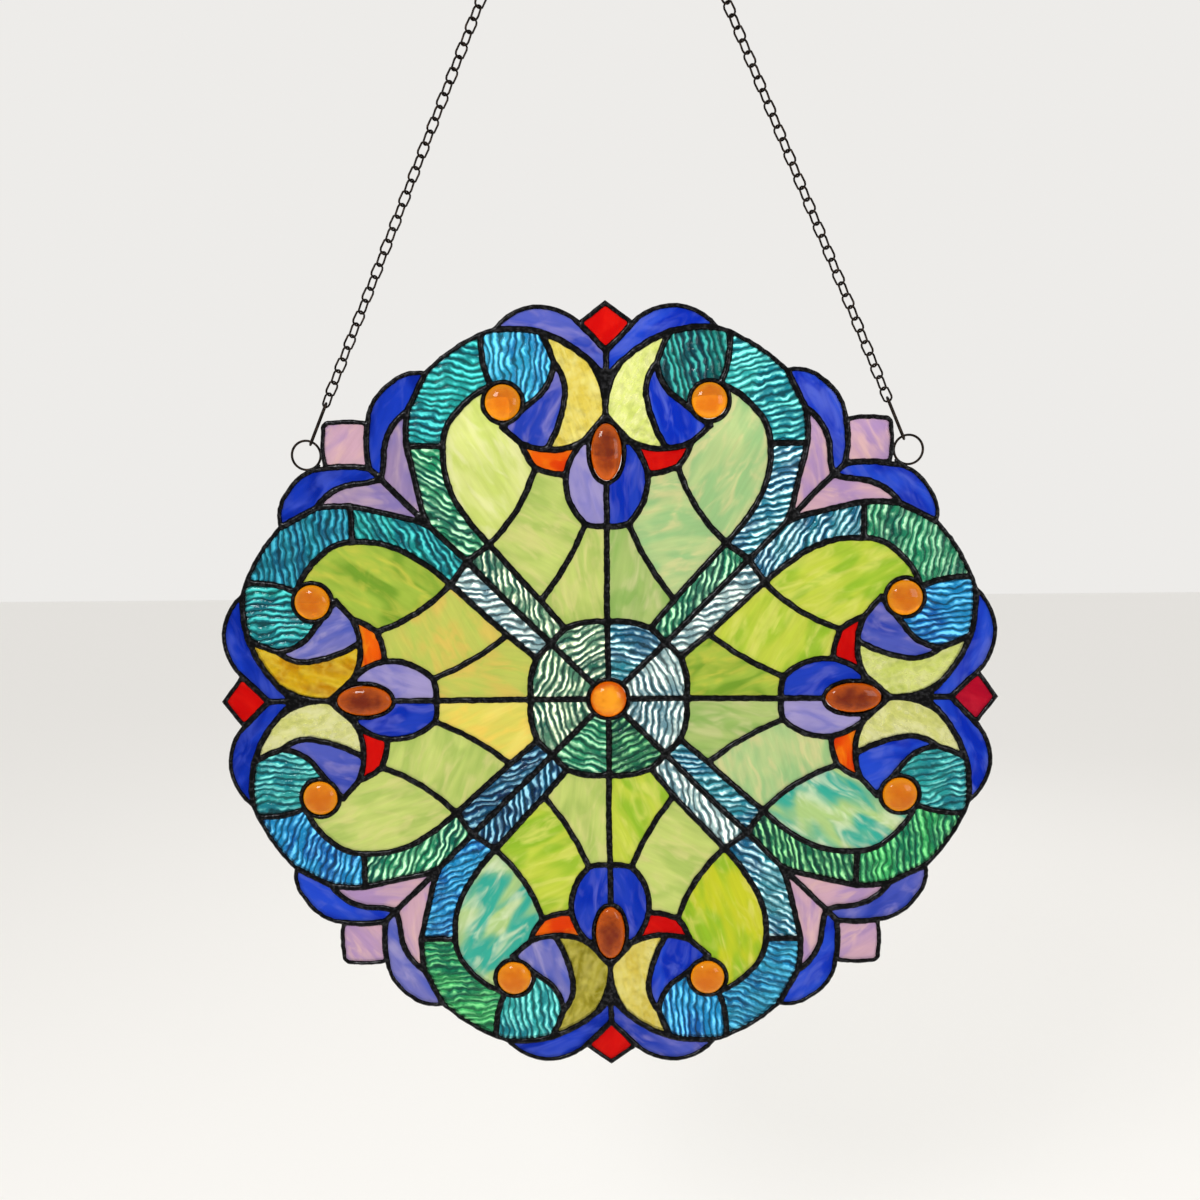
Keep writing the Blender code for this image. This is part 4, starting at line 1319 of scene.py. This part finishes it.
def relief_tree() -> bpy.types.NodeTree:
    """Geometry nodes that raise ripples or hammer marks on the front of a piece of glass.

    Returns:
        The node tree.
    """
    group = bpy.data.node_groups.new("glass_relief", "GeometryNodeTree")
    sockets = (("Ripple Height", 0.0), ("Ripple Spacing", RIPPLE_SPACING),
               ("Ripple Wander", RIPPLE_WANDER), ("Mark Height", 0.0), ("Mark Size", 3 * MM))
    group.interface.new_socket("Geometry", in_out="INPUT", socket_type="NodeSocketGeometry")
    for name, value in sockets:
        socket = group.interface.new_socket(name, in_out="INPUT", socket_type="NodeSocketFloat")
        socket.default_value = value
    group.interface.new_socket("Material", in_out="INPUT", socket_type="NodeSocketMaterial")
    group.interface.new_socket("Geometry", in_out="OUTPUT", socket_type="NodeSocketGeometry")
    tree = Tree(group)
    given = tree.add("NodeGroupInput").outputs
    flow, front = (tree.add("GeometryNodeInputNamedAttribute", {"Name": name}, data_type=kind).outputs[0]
                   for name, kind in (("flow", "FLOAT_VECTOR"), ("front", "FLOAT")))
    scale = tree.math("DIVIDE", math.tau / 20, given["Ripple Spacing"])
    wave = tree.add("ShaderNodeTexWave", {
        "Vector": flow, "Scale": scale, "Distortion": given["Ripple Wander"], **RIPPLE_DETAIL},
        bands_direction="Y")
    marks = tree.add("ShaderNodeTexNoise", {
        "Vector": flow, "Scale": tree.math("DIVIDE", 1.0, given["Mark Size"]), "Detail": 1.0})
    ridge = tree.math("SUBTRACT", wave.outputs[1], 0.5)
    mark = tree.math("SUBTRACT", marks.outputs[0], 0.5)
    height = tree.math("ADD", tree.math("MULTIPLY", ridge, given["Ripple Height"]),
                       tree.math("MULTIPLY", mark, tree.math("MULTIPLY", given["Mark Height"], 2.0)))
    lift = tree.math("MULTIPLY", tree.math("MULTIPLY", height, front), -1.0)
    offset = tree.add("ShaderNodeCombineXYZ", {1: lift})
    raised = tree.add("GeometryNodeSetPosition", {
        "Geometry": given["Geometry"], "Offset": offset.outputs[0]})
    # The relief's height is kept as the ridge, from which the glass material paints shade in the hollows and
    # glints on the crests.
    is_rippled = tree.math("GREATER_THAN", given["Ripple Height"], 0.0)
    mask = tree.add("ShaderNodeMix", {0: is_rippled, 2: tree.ramp(marks.outputs[0], 0.25, 0.75),
                                      3: wave.outputs[1]}, data_type="FLOAT").outputs[0]
    stored = tree.add("GeometryNodeStoreNamedAttribute",
                      {"Geometry": raised.outputs[0], "Name": "ridge", "Value": mask},
                      data_type="FLOAT", domain="POINT")
    real = tree.add("GeometryNodeRealizeInstances", {0: stored.outputs[0]})
    dressed = tree.add("GeometryNodeSetMaterial", {
        "Geometry": real.outputs[0], "Material": given["Material"]})
    out = tree.add("NodeGroupOutput")
    group.links.new(dressed.outputs[0], out.inputs[0])
    return group


def grown(mesh: bpy.types.Mesh, tree: bpy.types.NodeTree, values: dict[str, object]) -> bpy.types.Mesh:
    """Run geometry nodes on a mesh.

    Args:
        mesh: The mesh that goes in.
        tree: The geometry nodes.
        values: Value of each named input.

    Returns:
        The result as a plain mesh.
    """
    carrier = bpy.data.objects.new("carrier", mesh)
    bpy.context.scene.collection.objects.link(carrier)
    modifier = carrier.modifiers.new("nodes", "NODES")
    modifier.node_group = tree
    for item in tree.interface.items_tree:
        if item.item_type == "SOCKET" and item.in_out == "INPUT" and item.name in values:
            modifier[item.identifier] = values[item.name]
    evaluated = carrier.evaluated_get(bpy.context.evaluated_depsgraph_get())
    result = bpy.data.meshes.new_from_object(evaluated)
    bpy.data.objects.remove(carrier)
    bpy.data.meshes.remove(mesh)
    return result


@dataclass
class GlassTiles:
    """Every flat piece of glass."""

    drawing: Drawing
    materials: dict[Relief, bpy.types.Material]
    under_solder: float = 0.45 * MM
    row_share: float = 0.866
    flow_sway: float = 9.0
    sheet_shift: tuple[float, float, float] = (0.371, 0.713, 0.09)
    sheet_width: float = 1.7
    spacing: dict[Relief, float] = field(default_factory=lambda: {
        Relief.SMOOTH: 4.0 * MM, Relief.RIPPLED: 0.8 * MM, Relief.HAMMERED: 0.95 * MM})
    relief: dict[Relief, dict[str, float]] = field(default_factory=lambda: {
        Relief.SMOOTH: {"Ripple Height": 0.0, "Mark Height": 0.10 * MM, "Mark Size": 16 * MM},
        Relief.RIPPLED: {"Ripple Height": 0.6 * MM, "Ripple Spacing": RIPPLE_SPACING,
                         "Ripple Wander": RIPPLE_WANDER, "Mark Height": 0.12 * MM, "Mark Size": 5 * MM},
        Relief.HAMMERED: {"Ripple Height": 0.0, "Mark Height": 0.55 * MM, "Mark Size": 3.2 * MM}})

    def cut(self, shape: TileShape, spacing: float) -> tuple[np.ndarray, np.ndarray, np.ndarray]:
        """Cut one drawn piece.

        Args:
            shape: The piece.
            spacing: The distance between points on its front.

        Returns:
            Corners, triangles, and how much of the relief each corner takes.
        """
        loop = filled_in(self.drawing.opening(shape, -self.under_solder), 2.0 * MM)
        bezels = [ring for ring in self.drawing.jewel_loops(0.6 * self.drawing.bezel)
                  if inside(np.array([tuple(p) for p in ring]), loop).any()]

        def keep(middles: np.ndarray) -> np.ndarray:
            """Tell which triangles are glass.

            Args:
                middles: The triangles' middles.

            Returns:
                True in the piece and clear of every bezel.
            """
            kept = inside(middles, loop)
            for ring in bezels:
                kept &= ~inside(middles, ring)
            return kept

        low = np.array([min(p.x for p in loop), min(p.y for p in loop)])
        high = np.array([max(p.x for p in loop), max(p.y for p in loop)])
        rows = int((high[1] - low[1]) / (spacing * self.row_share)) + 1
        columns = int((high[0] - low[0]) / spacing) + 1
        grid = np.array([(low[0] + (c + 0.5 * (r % 2)) * spacing, low[1] + r * spacing * self.row_share)
                         for r in range(rows) for c in range(columns)])
        edge = point_tree([p for line in [loop] + bezels for p in filled_in(line, 0.3 * spacing)])
        grid = grid[keep(grid)]
        grid = [Vector(p) for p in grid if edge.find((*p, 0.0))[2] > 0.5 * spacing]
        front = Sheet.cut([loop] + bezels, grid, keep)
        back = Sheet.cut([loop] + bezels, [], keep)
        half = self.drawing.glass / 2
        corners, faces = closed_slab(
            front, back, np.full(len(front.points), -half), np.full(len(back.points), half), front.edges)
        share = np.zeros(len(corners))
        share[:len(front.points)] = 1.0
        share[[a for a, _ in front.edges]] = 0.0
        return corners, faces, share

    def build(self) -> None:
        """Cut, place and dress every piece."""
        tree = relief_tree()
        cuts = {}
        seed = 0
        for names, sheets in ((LOBES, LOBE_SHEETS), (CORNERS, CORNER_SHEETS)):
            for quarter, place in enumerate(names):
                for key, chosen in sheets[place].items():
                    for side, sheet_name in enumerate(chosen):
                        seed += 1
                        sheet = SHEETS[sheet_name]
                        if (key, sheet.relief) not in cuts:
                            spacing = self.spacing[sheet.relief]
                            cuts[key, sheet.relief] = self.cut(TILE_SHAPES[key], spacing)
                        flip = len(chosen) == 2 and side == 0
                        self.place_tile(place, key, quarter, flip, len(chosen) == 2, sheet,
                                        cuts[key, sheet.relief], seed, tree)

    def place_tile(self, place: str, key: str, quarter: int, flip: bool, paired: bool,
                   sheet: GlassSheet, cut: tuple[np.ndarray, np.ndarray, np.ndarray], seed: int,
                   tree: bpy.types.NodeTree) -> None:
        """Make one piece of glass from its cut.

        Args:
            place: The lobe or corner.
            key: Which piece of it.
            quarter: Its quarter turns.
            flip: Whether it is the mirrored one.
            paired: Whether it has a mirrored twin.
            sheet: The sheet it is cut from.
            cut: Its corners, triangles and shares of relief.
            seed: Its own number, which picks where on the sheet it is cut.
            tree: The geometry nodes for its relief.
        """
        shape = TILE_SHAPES[key]
        drawn, faces, share = cut
        corner = place in CORNERS
        if corner and flip:
            corners = drawn[:, [2, 1, 0]]
            corners, faces = placed(corners, faces[:, ::-1], quarter, False)
        else:
            corners, faces = placed(drawn, faces, quarter, flip)
        corners = wandered(corners, self.drawing)
        mesh = mesh_of(corners, faces, self.drawing.centre_height, 50)
        turn = math.radians(shape.flow + self.flow_sway * math.sin(seed * 2.3))
        along, beside, layer = self.sheet_shift
        flow = np.stack([
            drawn[:, 0] * math.cos(turn) + drawn[:, 2] * math.sin(turn) + along * seed,
            -drawn[:, 0] * math.sin(turn) + drawn[:, 2] * math.cos(turn) + beside * seed % self.sheet_width,
            np.full(len(drawn), layer * seed),
        ], 1)
        mesh.attributes.new("flow", "FLOAT_VECTOR", "POINT").data.foreach_set("vector", flow.ravel())
        mesh.attributes.new("front", "FLOAT", "POINT").data.foreach_set("value", share)
        for name in ("body", "streak", "wisp_and_glint"):
            colour = (*getattr(sheet, name), 1.0)
            layer = mesh.attributes.new(name, "FLOAT_COLOR", "POINT")
            layer.data.foreach_set("color", np.tile(colour, len(drawn)))
        material = self.materials[sheet.relief]
        mesh = grown(mesh, tree, {**self.relief[sheet.relief], "Material": material})
        side = "" if not paired else "_left" if flip else "_right"
        node = place + "_" + shape.node + (side if shape.node == "blue_leaf" else "")
        new_piece(place + "_" + key + side, mesh, material, (node,))


@dataclass
class Jewels:
    """The domed jewels in their bezels."""

    drawing: Drawing
    amber: bpy.types.Material
    bright: bpy.types.Material
    brown: bpy.types.Material
    sides: int = 40
    rows: int = 9
    foot_share: float = 0.46
    foot_rise: float = 0.4 * MM
    fullness: float = 0.86

    def dome(self, jewel: JewelPlace) -> tuple[np.ndarray, list[list[int]], np.ndarray]:
        """One jewel round its own centre, its length along Z and its dome to -Y.

        Args:
            jewel: The jewel.

        Returns:
            Corners, faces and how high on the dome each corner lies.
        """
        half = self.drawing.glass / 2
        profile = [(0.0, half, 0.0), (self.foot_share, half, 0.0), (0.5, half - self.foot_rise, 0.0),
                   (0.5, -half, 0.0)]
        for row in range(1, self.rows):
            turn = math.pi / 2 * row / self.rows
            lift = math.sin(turn)
            across = 0.5 * math.cos(turn) ** self.fullness
            profile.append((across, -half - lift * (jewel.rise - half), lift))
        corners = [(0.0, half, 0.0)]
        share = [0.0]
        for across, depth, lift in profile[1:]:
            width, length = 2 * across * jewel.width, 2 * across * jewel.length
            for point in oval(Vector((0.0, 0.0)), width, length, self.sides):
                corners.append((point.x, depth, point.y))
                share.append(lift)
        corners.append((0.0, -jewel.rise, 0.0))
        share.append(1.0)
        faces = []
        last = len(corners) - 1
        for i in range(self.sides):
            j = (i + 1) % self.sides
            faces.append([0, 1 + j, 1 + i])
            for row in range(len(profile) - 2):
                a = 1 + row * self.sides
                faces.append([a + i, a + j, a + j + self.sides, a + i + self.sides])
            a = last - self.sides
            faces.append([a + i, a + j, last])
        return np.array(corners), faces, np.array(share)

    def build(self) -> None:
        """Make every jewel."""
        self.place_jewel("centre_jewel", CENTRE, 0, False, self.bright)
        for quarter, lobe in enumerate(LOBES):
            self.place_jewel(lobe + "_oval_jewel", OVAL, quarter, False, self.brown)
            self.place_jewel(lobe + "_round_jewel_right", ROUND, quarter, False, self.amber)
            self.place_jewel(lobe + "_round_jewel_left", ROUND, quarter, True, self.amber)

    def place_jewel(self, node: str, jewel: JewelPlace, quarter: int, flip: bool,
                    material: bpy.types.Material) -> None:
        """Make one jewel.

        Args:
            node: The node it stands for.
            jewel: Its place and size in the half lobe.
            quarter: Its quarter turns.
            flip: Whether it lies left of the lobe's axis.
            material: Its material.
        """
        corners, faces, share = self.dome(jewel)
        centre = self.drawing.scaled((jewel.centre,))[0]
        corners = corners + np.array((-centre.x if flip else centre.x, 0.0, centre.y))
        corners = placed(corners, np.zeros((0, 3), int), quarter, False)[0]
        mesh = bpy.data.meshes.new(node)
        places = corners + np.array((0.0, 0.0, self.drawing.centre_height))
        mesh.from_pydata(places.tolist(), [], faces)
        edit = bmesh.new()
        edit.from_mesh(mesh)
        bmesh.ops.recalc_face_normals(edit, faces=edit.faces)
        edit.to_mesh(mesh)
        edit.free()
        mesh.attributes.new("dome", "FLOAT", "POINT").data.foreach_set("value", share)
        mesh.shade_smooth()
        mesh.set_sharp_from_angle(angle=math.radians(50))
        new_piece(node.replace("_jewel", "_cabochon"), mesh, material, (node,))


def wire_mesh(points: list[Vector], radius: float, resolution: int) -> bpy.types.Mesh:
    """A closed loop of round wire.

    Args:
        points: The loop's middle line.
        radius: The wire's radius.
        resolution: The bevel resolution of its section.

    Returns:
        The wire's mesh, its seams merged.
    """
    curve = bpy.data.curves.new("wire", "CURVE")
    curve.dimensions = "3D"
    curve.bevel_depth = radius
    curve.bevel_resolution = resolution
    spline = curve.splines.new("POLY")
    spline.use_cyclic_u = True
    spline.points.add(len(points) - 1)
    for point, spot in zip(points, spline.points):
        spot.co = (*point, 1.0)
    carrier = bpy.data.objects.new("wire", curve)
    bpy.context.scene.collection.objects.link(carrier)
    evaluated = carrier.evaluated_get(bpy.context.evaluated_depsgraph_get())
    mesh = bpy.data.meshes.new_from_object(evaluated)
    bpy.data.objects.remove(carrier)
    edit = bmesh.new()
    edit.from_mesh(mesh)
    bmesh.ops.remove_doubles(edit, verts=edit.verts, dist=1e-6)
    bmesh.ops.recalc_face_normals(edit, faces=edit.faces)
    edit.to_mesh(mesh)
    edit.free()
    mesh.shade_smooth()
    return mesh


def chain_tree() -> bpy.types.NodeTree:
    """Geometry nodes that lay oval wire links along X, each turned against the next.

    Returns:
        The node tree.
    """
    group = bpy.data.node_groups.new("chain_links", "GeometryNodeTree")
    group.interface.new_socket("Geometry", in_out="INPUT", socket_type="NodeSocketGeometry")
    group.interface.new_socket("Links", in_out="INPUT", socket_type="NodeSocketInt").default_value = 57
    for name, value in (("Pitch", 6.5 * MM), ("First Link", 3.9 * MM), ("Link Length", 8.7 * MM),
                        ("Link Width", 5.7 * MM), ("Wire", 1.15 * MM), ("Link Turn", math.radians(64)),
                        ("Link Sway", math.radians(3))):
        socket = group.interface.new_socket(name, in_out="INPUT", socket_type="NodeSocketFloat")
        socket.default_value = value
    group.interface.new_socket("Seed", in_out="INPUT", socket_type="NodeSocketInt").default_value = 3
    group.interface.new_socket("Material", in_out="INPUT", socket_type="NodeSocketMaterial")
    group.interface.new_socket("Geometry", in_out="OUTPUT", socket_type="NodeSocketGeometry")
    tree = Tree(group)
    given = tree.add("NodeGroupInput").outputs
    bend = tree.math("MULTIPLY", tree.math("SUBTRACT", given["Link Width"], given["Wire"]), 0.5)
    stretch = tree.math("MULTIPLY", tree.math("SUBTRACT", given["Link Length"], given["Link Width"]), 0.5)
    circle = tree.add("GeometryNodeCurvePrimitiveCircle", {"Resolution": 12, "Radius": bend})
    spot = tree.add("ShaderNodeSeparateXYZ", {0: tree.add("GeometryNodeInputPosition").outputs[0]})
    shift = tree.math("MULTIPLY", tree.math("SIGN", spot.outputs[0]), stretch)
    link_line = tree.add("GeometryNodeSetPosition", {
        "Geometry": circle.outputs[0], "Offset": tree.add("ShaderNodeCombineXYZ", {0: shift}).outputs[0]})
    section = tree.add("GeometryNodeCurvePrimitiveCircle", {
        "Resolution": 5, "Radius": tree.math("MULTIPLY", given["Wire"], 0.5)})
    link = tree.add("GeometryNodeCurveToMesh", {0: link_line.outputs[0], 1: section.outputs[0]})
    start = tree.add("ShaderNodeCombineXYZ", {0: given["First Link"]})
    pitch = tree.add("ShaderNodeCombineXYZ", {0: given["Pitch"]})
    line = tree.add("GeometryNodeMeshLine", {"Count": given["Links"], "Start Location": start.outputs[0],
                                             "Offset": pitch.outputs[0]}, mode="OFFSET")
    index = tree.add("GeometryNodeInputIndex").outputs[0]
    side = tree.math("SUBTRACT", tree.math("MULTIPLY", tree.math("MODULO", index, 2.0), 2.0), 1.0)
    sway = tree.add("FunctionNodeRandomValue", {
        "Min": tree.math("MULTIPLY", given["Link Sway"], -1.0), "Max": given["Link Sway"],
        "Seed": given["Seed"]}, data_type="FLOAT")
    angle = tree.math("ADD", tree.math("MULTIPLY", side, given["Link Turn"]), sway.outputs[1])
    turn = tree.add("ShaderNodeCombineXYZ", {0: angle})
    spread = tree.add("GeometryNodeInstanceOnPoints", {
        "Points": line.outputs[0], "Instance": link.outputs[0], "Rotation": turn.outputs[0]})
    real = tree.add("GeometryNodeRealizeInstances", {0: spread.outputs[0]})
    smooth = tree.add("GeometryNodeSetShadeSmooth", {0: real.outputs[0]})
    dressed = tree.add("GeometryNodeSetMaterial", {
        "Geometry": smooth.outputs[0], "Material": given["Material"]})
    out = tree.add("NodeGroupOutput")
    group.links.new(dressed.outputs[0], out.inputs[0])
    return group


@dataclass
class Hanging:
    """Two rings on the rim, a long hook on each, and the chain's two runs up to the origin."""

    drawing: Drawing
    wire: bpy.types.Material
    solder: bpy.types.Material
    ring_diameter: float = 16.5 * MM
    ring_wire: float = 1.3 * MM
    hook_wire: float = 1.2 * MM
    hook_bend: float = 1.75 * MM
    hook_turn: float = math.radians(25)
    hook_steps: int = 12
    ring_steps: int = 56
    drops: tuple[tuple[float, float], ...] = ((180, 1.5 * MM), (232, 1.7 * MM))
    drop_shape: tuple[float, float, float] = (0.75, 0.9, 1.5)
    links: int = 57
    first_link: float = 3.95 * MM
    link_length: float = 8.8 * MM
    link_wire: float = 1.15 * MM
    link_overlap: float = 0.5 * MM

    def middle(self, node: str) -> Vector:
        """The middle of a node's box."""
        low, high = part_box(node)
        return (Vector(low) + Vector(high)) / 2

    def build(self) -> None:
        """Make both sides."""
        tree = chain_tree()
        for side, name in ((1, "right"), (-1, "left")):
            ring = self.middle(name + "_ring")
            down = ring.normalized()
            across = Vector((-down.z, 0.0, down.x)) * side
            self.ring(name, ring)
            self.ring_solder(name, ring, side)
            top = self.hook(name, ring, down, across)
            self.chain(name, down, top, tree, side)

    def ring(self, name: str, centre: Vector) -> None:
        """The round ring.

        Args:
            name: The side's name.
            centre: The ring's centre.
        """
        turns = [math.tau * i / self.ring_steps for i in range(self.ring_steps)]
        radius = (self.ring_diameter - self.ring_wire) / 2
        points = [centre + radius * Vector((math.cos(t), 0.0, math.sin(t))) for t in turns]
        new_piece(name + "_round_ring", wire_mesh(points, self.ring_wire / 2, 3), self.wire,
                  (name + "_ring",))

    def ring_solder(self, name: str, centre: Vector, side: int) -> None:
        """Drops of solder that hold the ring to the rim.

        Args:
            name: The side's name.
            centre: The ring's centre.
            side: 1 on the right, -1 on the left.
        """
        edit = bmesh.new()
        for angle, size in self.drops:
            turn = math.radians(angle)
            reach = self.ring_diameter / 2
            spot = centre + reach * Vector((side * math.cos(turn), 0.0, math.sin(turn)))
            place = Matrix.Translation(spot) @ Matrix.Rotation(side * -turn, 4, "Y")
            grow = Matrix.Diagonal((*(share * size for share in self.drop_shape), 1.0))
            bmesh.ops.create_uvsphere(edit, u_segments=16, v_segments=10, radius=1.0, matrix=place @ grow)
        mesh = bpy.data.meshes.new(name + "_ring_solder")
        edit.to_mesh(mesh)
        edit.free()
        mesh.shade_smooth()
        new_piece(name + "_ring_solder", mesh, self.solder, ())

    def hook(self, name: str, ring: Vector, down: Vector, across: Vector) -> float:
        """The long closed hook.

        Args:
            name: The side's name.
            ring: The ring's centre.
            down: The chain's direction.
            across: Square to it in the panel's plane.

        Returns:
            How far down the chain's line the centre of its top bend lies.
        """
        end = ring.length - (self.ring_diameter - self.ring_wire) / 2
        low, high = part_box(name + "_hook")
        reach = ((high[2] - low[2]) - 2 * self.hook_bend - self.hook_wire) / -down.z
        top = end - reach
        wide = across * math.sin(self.hook_turn) + Vector((0.0, math.cos(self.hook_turn), 0.0))
        points = []
        for centre, first in ((top, math.pi), (end, 0.0)):
            for step in range(self.hook_steps + 1):
                turn = first + math.pi * step / self.hook_steps
                bend = wide * math.cos(turn) + down * math.sin(turn)
                points.append(down * centre + self.hook_bend * bend)
        new_piece(name + "_long_hook", wire_mesh(points, self.hook_wire / 2, 2), self.wire,
                  (name + "_hook",))
        return top

    def chain(self, name: str, down: Vector, hook_top: float, tree: bpy.types.NodeTree,
              side: int) -> None:
        """One run of links, from the origin to the hook.

        Args:
            name: The side's name.
            down: The run's direction.
            hook_top: How far down the hook's top bend lies.
            tree: The geometry nodes for the links.
            side: 1 on the right, -1 on the left.
        """
        last = hook_top + self.link_overlap - (self.link_length - self.link_wire) / 2
        pitch = (last - self.first_link) / (self.links - 1)
        seed_mesh = bpy.data.meshes.new(name + "_seed")
        mesh = grown(seed_mesh, tree, {
            "Links": self.links, "Pitch": pitch, "First Link": self.first_link,
            "Link Length": self.link_length, "Wire": self.link_wire, "Seed": 3 + side, "Material": self.wire})
        back = Vector((0.0, 1.0, 0.0))
        frame_of_run = Matrix((down, back, down.cross(back))).transposed()
        mesh.transform(frame_of_run.to_4x4())
        new_piece(name + "_link_chain", mesh, self.wire, (name + "_chain",))


@dataclass
class Studio:
    """The floor, the soft lights and the camera."""

    centre: Vector
    floor_drop: float = 0.62
    camera_place: tuple[float, float, float] = (0.0015, -0.5214, -0.3831)
    camera_turn: tuple[float, float, float] = (83.41, 0.54, 0.55)
    lens: float = 29.4

    def build(self) -> None:
        """Set up everything that isn't the panel."""
        self.floor()
        self.world()
        self.light("key", (-0.55, -0.95, 0.75), 0.32, 7.0)
        self.light("fill", (1.1, -1.1, 0.3), 0.7, 6.0)
        self.light("back", (0.3, 1.4, 0.9), 1.6, 4.0)
        camera = bpy.data.cameras.new("camera")
        camera.lens = self.lens
        camera.sensor_width = 36.0
        holder = bpy.data.objects.new("camera", camera)
        holder.location = self.camera_place
        holder.rotation_euler = [math.radians(turn) for turn in self.camera_turn]
        bpy.context.scene.collection.objects.link(holder)
        bpy.context.scene.camera = holder
        bpy.context.scene.view_settings.view_transform = "Standard"

    def floor(self) -> None:
        """A plain pale floor."""
        height = self.centre.z - self.floor_drop
        bpy.ops.mesh.primitive_plane_add(size=12.0, location=(0.0, 0.0, height))
        floor = bpy.context.active_object
        floor.name = "floor"
        material = bpy.data.materials.new("pale_floor")
        material.use_nodes = True
        shader = material.node_tree.nodes["Principled BSDF"]
        shader.inputs["Base Color"].default_value = (0.9, 0.89, 0.87, 1.0)
        shader.inputs["Roughness"].default_value = 0.7
        floor.data.materials.append(material)

    def world(self) -> None:
        """An even pale world."""
        world = bpy.data.worlds.new("world")
        world.use_nodes = True
        background = world.node_tree.nodes["Background"]
        background.inputs["Color"].default_value = (1.0, 0.985, 0.96, 1.0)
        background.inputs["Strength"].default_value = 0.85
        bpy.context.scene.world = world

    def light(self, name: str, offset: tuple[float, float, float], size: float, power: float) -> None:
        """A soft square light that looks at the panel.

        Args:
            name: Its name.
            offset: Where it stands from the panel's centre.
            size: The length of its side.
            power: Its power in watts.
        """
        lamp = bpy.data.lights.new(name, "AREA")
        lamp.size = size
        lamp.energy = power
        holder = bpy.data.objects.new(name, lamp)
        holder.location = self.centre + Vector(offset)
        holder.rotation_euler = (-Vector(offset)).to_track_quat("-Z", "Y").to_euler()
        bpy.context.scene.collection.objects.link(holder)


def main() -> None:
    """Build the panel's pieces over the frame, and the studio round them."""
    logging.basicConfig(level=logging.INFO, format="%(name)s %(message)s")
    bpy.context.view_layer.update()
    net_low, net_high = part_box("lead_lines")
    jewel_low, jewel_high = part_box("centre_jewel")
    drawing = Drawing(radius=(net_high[0] - net_low[0]) / 2,
                      centre_height=(jewel_low[2] + jewel_high[2]) / 2)
    streaks = streak_group()
    grain = grain_group()
    ripples = ripple_group()
    # shade and light set the painted shade in the hollows and the painted glints on the crests.
    glass = {
        Relief.SMOOTH: GlassFinish(
            "opal_glass", transmission=0.5, roughness=(0.10, 0.24), streak_width=13 * MM, wisp_share=0.8,
            shade=0.0, light=0.0, grain_size=2.5 * MM, grain_height=0.05 * MM, specular=0.1),
        Relief.RIPPLED: GlassFinish(
            "rippled_glass", transmission=0.8, roughness=(0.04, 0.12), streak_width=14 * MM,
            wisp_share=0.1, shade=0.75, light=0.9, grain_size=1.5 * MM, grain_height=0.06 * MM,
            rippled=True, specular=0.4, ior=1.25),
        Relief.HAMMERED: GlassFinish(
            "hammered_glass", transmission=0.7, roughness=(0.06, 0.16), streak_width=8 * MM,
            wisp_share=0.5, shade=0.16, light=0.4, grain_size=1.2 * MM, grain_height=0.05 * MM),
    }
    solder = MetalFinish("black_solder", srgb(20, 20, 21), srgb(54, 54, 56), 1.0, (0.12, 0.36),
                         1.7 * MM, 0.3 * MM).make(grain)
    wire = MetalFinish("dark_wire", srgb(26, 22, 20), srgb(64, 52, 44), 1.0, (0.25, 0.45),
                       1.0 * MM, 0.03 * MM).make(grain)
    # Jewel heart and edge colours are painted lens light and shade; the bright jewel's heart is a painted hot
    # glint with a stronger painted glow.
    amber = JewelFinish("amber_jewel", srgb(200, 96, 0), srgb(232, 146, 14)).make()
    bright = JewelFinish("bright_amber_jewel", srgb(254, 190, 34), srgb(194, 86, 2), 0.22).make()
    brown = JewelFinish("brown_jewel", srgb(92, 18, 0), srgb(196, 88, 6)).make()
    SolderNet(drawing).build(solder)
    materials = {kind: finish.make(streaks, grain, ripples) for kind, finish in glass.items()}
    GlassTiles(drawing, materials).build()
    Jewels(drawing, amber, bright, brown).build()
    Hanging(drawing, wire, solder).build()
    Studio(Vector((0.0, 0.0, drawing.centre_height))).build()


if __name__ == "__main__":
    main()
